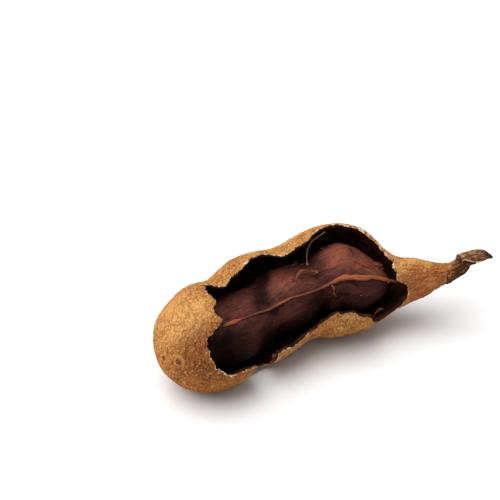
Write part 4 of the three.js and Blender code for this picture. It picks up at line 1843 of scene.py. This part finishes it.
@dataclass
class Stalk:
    """The woody stalk with its split end."""

    finishes: tuple[Finish, ...] = (BARK, WOOD, SPLIT)

    stem: Sequence[Triple] = (
        (30.9, -7.45, 13.45), (33.2, -8.3, 14.2), (34.9, -8.8, 14.9), (36.6, -9, 15.7), (38.9, -9.2, 16.5),
    )
    stem_girth: Sequence[Pair] = (
        (0, 0), (0.01, 2.2), (0.6, 2.4), (2.4, 2.3), (4.2, 2.15), (5.8, 2.1), (6.8, 1.8), (7.8, 1.2),
        (8.8, 0),
    )
    stem_section: Pair = (1.02, 1.0)  # width and height, in radii
    tongue: Sequence[Triple] = (
        (36.4, -8.5, 17.3), (37.6, -8.7, 17.6), (38.9, -9.1, 17.75), (40.5, -9.6, 17.85),
        (42.1, -10.2, 17.85), (43.2, -10.8, 17.7), (43.8, -11.2, 17.5),
    )
    tongue_girth: Sequence[Pair] = (
        (0, 0), (0.05, 1.05), (0.6, 1.2), (2.2, 1.32), (4.4, 1.4), (6, 1.1), (7.2, 0.6), (8.1, 0.2),
        (8.25, 0),
    )
    tongue_section: Pair = (0.85, 1.0)
    splinter: Sequence[Triple] = (
        (35.9, -9.1, 16.5), (37.2, -9.6, 16.6), (38.4, -9.9, 16.5), (39.8, -10.2, 16.3),
    )
    splinter_girth: Sequence[Pair] = ((0, 0), (0.3, 0.9), (1.8, 0.95), (3, 0.6), (4.1, 0.2), (4.2, 0))
    splinter_section: Pair = (1.0, 0.7)
    knob: Sequence[Triple] = ((36, -8.4, 16.4), (36.1, -8, 17.4), (36.1, -7.5, 18.3))
    knob_girth: Sequence[Pair] = ((0, 0), (0.1, 0.8), (0.9, 0.72), (1.5, 0.45), (2.05, 0.16), (2.1, 0))
    knob_section: Pair = (1.0, 1.0)
    edge: Sequence[Triple] = (
        (36.1, -8.9, 18.1), (37.1, -9.8, 17.8), (38.3, -10.6, 17.5), (39.6, -11.1, 17.2),
        (40.8, -11.4, 17.3),
    )
    edge_girth: Sequence[Pair] = ((0, 0), (0.2, 0.2), (2.5, 0.27), (4.6, 0.2), (5.5, 0.1), (5.6, 0))
    boxiness: float = 4.0  # power of the rounded square that the tongue's section follows
    rib: Wave = Wave(0.1, 5, 0.5)
    fibres: Sequence[Wave] = (Wave(0.07, 9, 0.4), Wave(0.05, 14, -0.6))  # heights are shares of the radius
    sway: Sway = Sway(2.5, 0.35)
    fissures: Blobs = Blobs(0.7, 3.0, 0.6, 0.16)
    fissure_height: float = 0.6
    knots: Blobs = Blobs(1.4)
    knot_height: float = 0.4
    rough: Step = Step(31.0, 34.5)  # the bark gets rougher from the pod on
    ring_spacing: float = 0.15
    ring_sides: int = 84
    grain_radius: float = 2.0
    edge_form: tuple[float, int, float] = (0.2, 14, 0.4)  # the same three for the split's thin edge

    def boxy(self, girth: Sequence[Pair]) -> Swell:
        """Makes a swell that turns a round section into a rounded square, with fibres along it.

        Args:
            girth: the profile it goes with.

        Returns:
            The swell.
        """
        profile = Profile(girth)

        def swell(along: np.ndarray, turn: np.ndarray) -> np.ndarray:
            """Extra radius at the corners and on the fibres."""
            angle = np.radians(turn)
            power = self.boxiness
            square = (np.abs(np.cos(angle)) ** power + np.abs(np.sin(angle)) ** power) ** (-1 / power)
            fibres = sum(fibre.at(along, turn) for fibre in self.fibres)
            return profile.radius(along) * (square * (1 + fibres) - 1)

        return swell

    def limb(self, spine: Sequence[Triple], girth: Sequence[Pair], section: Pair, part: Wood,
             swell: Swell) -> bpy.types.Object:
        """One limb of the stalk.

        Args:
            spine: its points.
            girth: its profile.
            section: width and height of its section, in radii.
            part: what it is made of.
            swell: extra radius.

        Returns:
            The object, with the relief of its bark or wood.
        """
        loft = Loft(Spine(spine), Profile(girth), *section, swell, self.grain_radius)
        made = loft.form(self.ring_spacing, self.ring_sides, part).mesh_object("stalk", self.finishes)
        raise_relief(made, self.relief)
        return made

    def relief(self, place: Direction, grain: Direction) -> Value:
        """Fissures of bark and wood, in millimetres.

        Args:
            place: the place, in millimetres.
            grain: the place on the straightened limb.

        Returns:
            The height.
        """
        fissures = (self.fissures.at(self.sway.of(grain)) - 0.5) * self.fissure_height
        knots = (self.knots.at(place) - 0.5) * self.knot_height
        return (fissures + knots) * self.rough.of(place.part(0))

    def build(self) -> bpy.types.Object:
        """Builds and dresses the stalk.

        Returns:
            The stalk, on its body.
        """
        spacing, sides, grain = self.edge_form
        edge = Loft(Spine(self.edge), Profile(self.edge_girth), grain_radius=grain)
        boxy = self.boxy(self.tongue_girth)
        stem = self.limb(self.stem, self.stem_girth, self.stem_section, Wood.BARK, self.rib.at)
        combine(stem, [
            self.limb(self.tongue, self.tongue_girth, self.tongue_section, Wood.INNER, boxy),
            self.limb(self.splinter, self.splinter_girth, self.splinter_section, Wood.BARK, self.rib.at),
            self.limb(self.knob, self.knob_girth, self.knob_section, Wood.BARK, self.rib.at),
            edge.form(spacing, sides, Wood.SPLIT).mesh_object("edge", self.finishes),
        ], Combine.JOIN)
        return add_piece(stem, "bark", "stem")


# ---- crumbs ------------------------------------------------------------------------------------------


class Stuff(IntEnum):
    """Material numbers of the crumbs."""

    RIND = 0
    SHRED = 1
    FLESH = 2
    STRAND = 3


@dataclass(frozen=True)
class Crumb:
    """One crumb on the pulp."""

    stuff: Stuff
    along: float  # along the pulp
    turn: float
    size: float  # mean radius
    lift: float = 0.3  # height of its middle over the pulp, in its own sizes
    flat: float = 1.0  # height over width


@dataclass
class Crumbs:
    """Crumbs of rind, shreds of lining and lumps of flesh that lie on the pulp."""

    pulp: Pulp
    crumbs: Sequence[Crumb] = (
        Crumb(Stuff.RIND, 60.95, 74, 0.24),
        Crumb(Stuff.RIND, 61.4, 66, 0.17),
        Crumb(Stuff.RIND, 60.3, 78, 0.15),
        Crumb(Stuff.RIND, 62.2, 50, 0.24, 1.4),
        Crumb(Stuff.RIND, 64.9, 47, 0.22, 1.2),
        Crumb(Stuff.RIND, 63.6, 51, 0.16, 1.6),
        Crumb(Stuff.RIND, 57.95, 12, 0.2),
        Crumb(Stuff.RIND, 27.2, 19.5, 0.14),
        Crumb(Stuff.RIND, 13.95, -30, 0.17),
        Crumb(Stuff.RIND, 36.4, 40, 0.13),
        Crumb(Stuff.SHRED, 40.9, 103, 0.85, 0.5, 0.4),
        Crumb(Stuff.SHRED, 42.1, 106, 0.95, 0.6, 0.45),
        Crumb(Stuff.SHRED, 43.3, 103, 0.75, 0.4, 0.5),
        Crumb(Stuff.SHRED, 47.6, 108, 0.7, 0.4, 0.4),
        Crumb(Stuff.SHRED, 48.8, 112, 0.8, 0.4, 0.4),
        Crumb(Stuff.SHRED, 50.0, 108, 0.6, 0.3, 0.4),
        Crumb(Stuff.SHRED, 29.4, 108, 0.5, 0.4, 0.5),
        Crumb(Stuff.STRAND, 45.2, 71, 0.75, 0.2, 0.2),
        Crumb(Stuff.STRAND, 44.5, 77, 0.55, 0.2, 0.2),
        Crumb(Stuff.FLESH, 61.9, 112, 1.3, 0.1, 0.75),
        Crumb(Stuff.FLESH, 60.9, 100, 0.8, 0.1, 0.8),
        Crumb(Stuff.FLESH, 62.9, 100, 0.7, 0.2, 0.8),
        Crumb(Stuff.FLESH, 21.8, -9, 0.8, 5.9, 0.7),
        Crumb(Stuff.FLESH, 22.6, -5, 0.6, 8.2, 0.8),
        Crumb(Stuff.FLESH, 21.9, -16, 0.7, 6.6, 0.7),
        Crumb(Stuff.FLESH, 21.9, -24, 0.6, 7.2, 0.8),
    )
    seed: int = 21
    stretch: Pair = (0.65, 1.3)  # least and most size of a crumb each way
    facets: int = 7
    facet_depth: Pair = (0.55, 0.8)  # least and most distance of a facet from the middle, in radii

    def shape(self, crumb: Crumb, seed: int) -> Form:
        """One angular crumb, at its place.

        Args:
            crumb: the crumb.
            seed: what its shape starts from.

        Returns:
            The closed form.
        """
        loft = self.pulp.loft()
        along, turn = np.array([crumb.along]), np.array([crumb.turn])
        foot = loft.surface(along, turn, np.array([0.0]))[0]
        out = loft.surface(along, turn, np.array([1.0]))[0] - foot
        ball = bmesh.new()
        bmesh.ops.create_icosphere(ball, subdivisions=2, radius=1)
        random = np.random.default_rng(seed)
        stretch = random.uniform(*self.stretch, 3)
        points = np.array([v.co for v in ball.verts])
        for facet in unit(random.normal(size=(self.facets, 3))):
            over = np.maximum(0, points @ facet - random.uniform(*self.facet_depth))
            points -= over[:, None] * facet
        points *= stretch
        points -= (points @ out)[:, None] * out * (1 - crumb.flat)
        faces = [tuple(v.index for v in face.verts) for face in ball.faces]
        ball.free()
        return Form(foot + (out * crumb.lift + points) * crumb.size, faces, None, crumb.stuff)

    def build(self) -> bpy.types.Object:
        """Builds and dresses the crumbs.

        Returns:
            The crumbs, on their body.
        """
        shapes = [self.shape(crumb, self.seed + k) for k, crumb in enumerate(self.crumbs)]
        whole = shapes[0]
        for shape in shapes[1:]:
            whole = whole.joined(shape)
        return add_piece(whole.mesh_object("crumbs", (CRUMB, SHRED, FLESH, STRAND)), "shell")


# ---- stage -------------------------------------------------------------------------------------------


@dataclass
class Stage:
    """Floor, lights and camera."""

    floor_size: float = 3000.0
    floor_squares: int = 8  # along each side
    azimuth: float = -26.0
    elevation: float = 33.5
    distance: float = 380.0
    target: Triple = (2.7, 41.8, 0.0)
    lens: float = 100.0
    sensor: float = 36.0
    clip: Pair = (0.01, 20.0)  # metres
    key_from: Triple = (-0.42, 0.18, 0.89)
    key_strength: float = 3.2
    key_angle: float = 75.0
    sky_from: Triple = (-0.37, 0.28, 0.886)  # the brightest part of the sky
    sky_bright: Colour = (0.62, 0.62, 0.63)
    sky_dim: Colour = (0.1, 0.1, 0.105)
    sky_edges: Pair = (-0.5, 0.7)  # height towards the bright part where the sky starts and ends rising

    def floor(self) -> None:
        """A wide matt floor at z = 0."""
        row = self.floor_squares + 1
        axis = np.linspace(-0.5, 0.5, row) * self.floor_size
        points = np.array([(x, y, 0.0) for y in axis for x in axis])
        corners = [line * row + place for line in range(row - 1) for place in range(row - 1)]
        faces = [(k, k + 1, k + row + 1, k + row) for k in corners]
        Form(points, faces).mesh_object("floor", (FLOOR,))

    @staticmethod
    def sun(name: str, source: Triple, strength: float, angle: float) -> None:
        """A soft far light.

        Args:
            name: the light's name.
            source: the direction it comes from.
            strength: watts a square metre.
            angle: degrees across, which softens its shadows.
        """
        light = bpy.data.lights.new(name, "SUN")
        light.energy = strength
        light.angle = math.radians(angle)
        made = bpy.data.objects.new(name, light)
        made.rotation_euler = Vector(source).to_track_quat("Z", "Y").to_euler()
        bpy.context.scene.collection.objects.link(made)

    def lights(self) -> None:
        """One soft key light from above and behind, and a sky that is dim towards the front."""
        self.sun("key", self.key_from, self.key_strength, self.key_angle)
        world = bpy.data.worlds.new("studio")
        world.use_nodes = True
        world.node_tree.nodes.clear()
        graph = Graph(world.node_tree)
        ray = graph.vector("ShaderNodeTexCoord", "Generated", {}, {})
        height = ray.measure("DOT_PRODUCT", self.sky_from).rise(*self.sky_edges)
        colour = height.mix(self.sky_dim, self.sky_bright)
        sky = graph.node("ShaderNodeBackground", {}, {"Color": colour, "Strength": 1.0})
        graph.node("ShaderNodeOutputWorld", {}, {"Surface": Link(graph, sky.outputs[0])})
        bpy.context.scene.world = world

    def camera(self) -> None:
        """The camera, without depth of field or shift."""
        azimuth, elevation = math.radians(self.azimuth), math.radians(self.elevation)
        back = Vector((math.sin(azimuth) * math.cos(elevation),
                       -math.cos(azimuth) * math.cos(elevation), math.sin(elevation)))
        lens = bpy.data.cameras.new("camera")
        lens.lens = self.lens
        lens.sensor_width = self.sensor
        lens.sensor_fit = "HORIZONTAL"
        lens.clip_start, lens.clip_end = self.clip
        made = bpy.data.objects.new("camera", lens)
        made.location = (Vector(self.target) + back * self.distance) * MM
        made.rotation_euler = back.to_track_quat("Z", "Y").to_euler()
        bpy.context.scene.collection.objects.link(made)
        bpy.context.scene.camera = made

    def build(self) -> None:
        """Sets up the whole stage."""
        self.camera()
        self.floor()
        self.lights()
        bpy.context.scene.view_settings.view_transform = "Standard"


# ---- the pod -----------------------------------------------------------------------------------------


def main() -> None:
    """Builds the stage, then every piece of the pod."""
    logging.basicConfig(level=logging.INFO, format="%(name)s: %(message)s")
    Stage().build()
    pod = PodForm()
    pulp = Pulp(pod)
    Shell(pod).build()
    pulp.build()
    Fibres(pod, pulp).build()
    Stalk().build()
    Crumbs(pulp).build()
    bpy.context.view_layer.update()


if __name__ == "__main__":
    main()
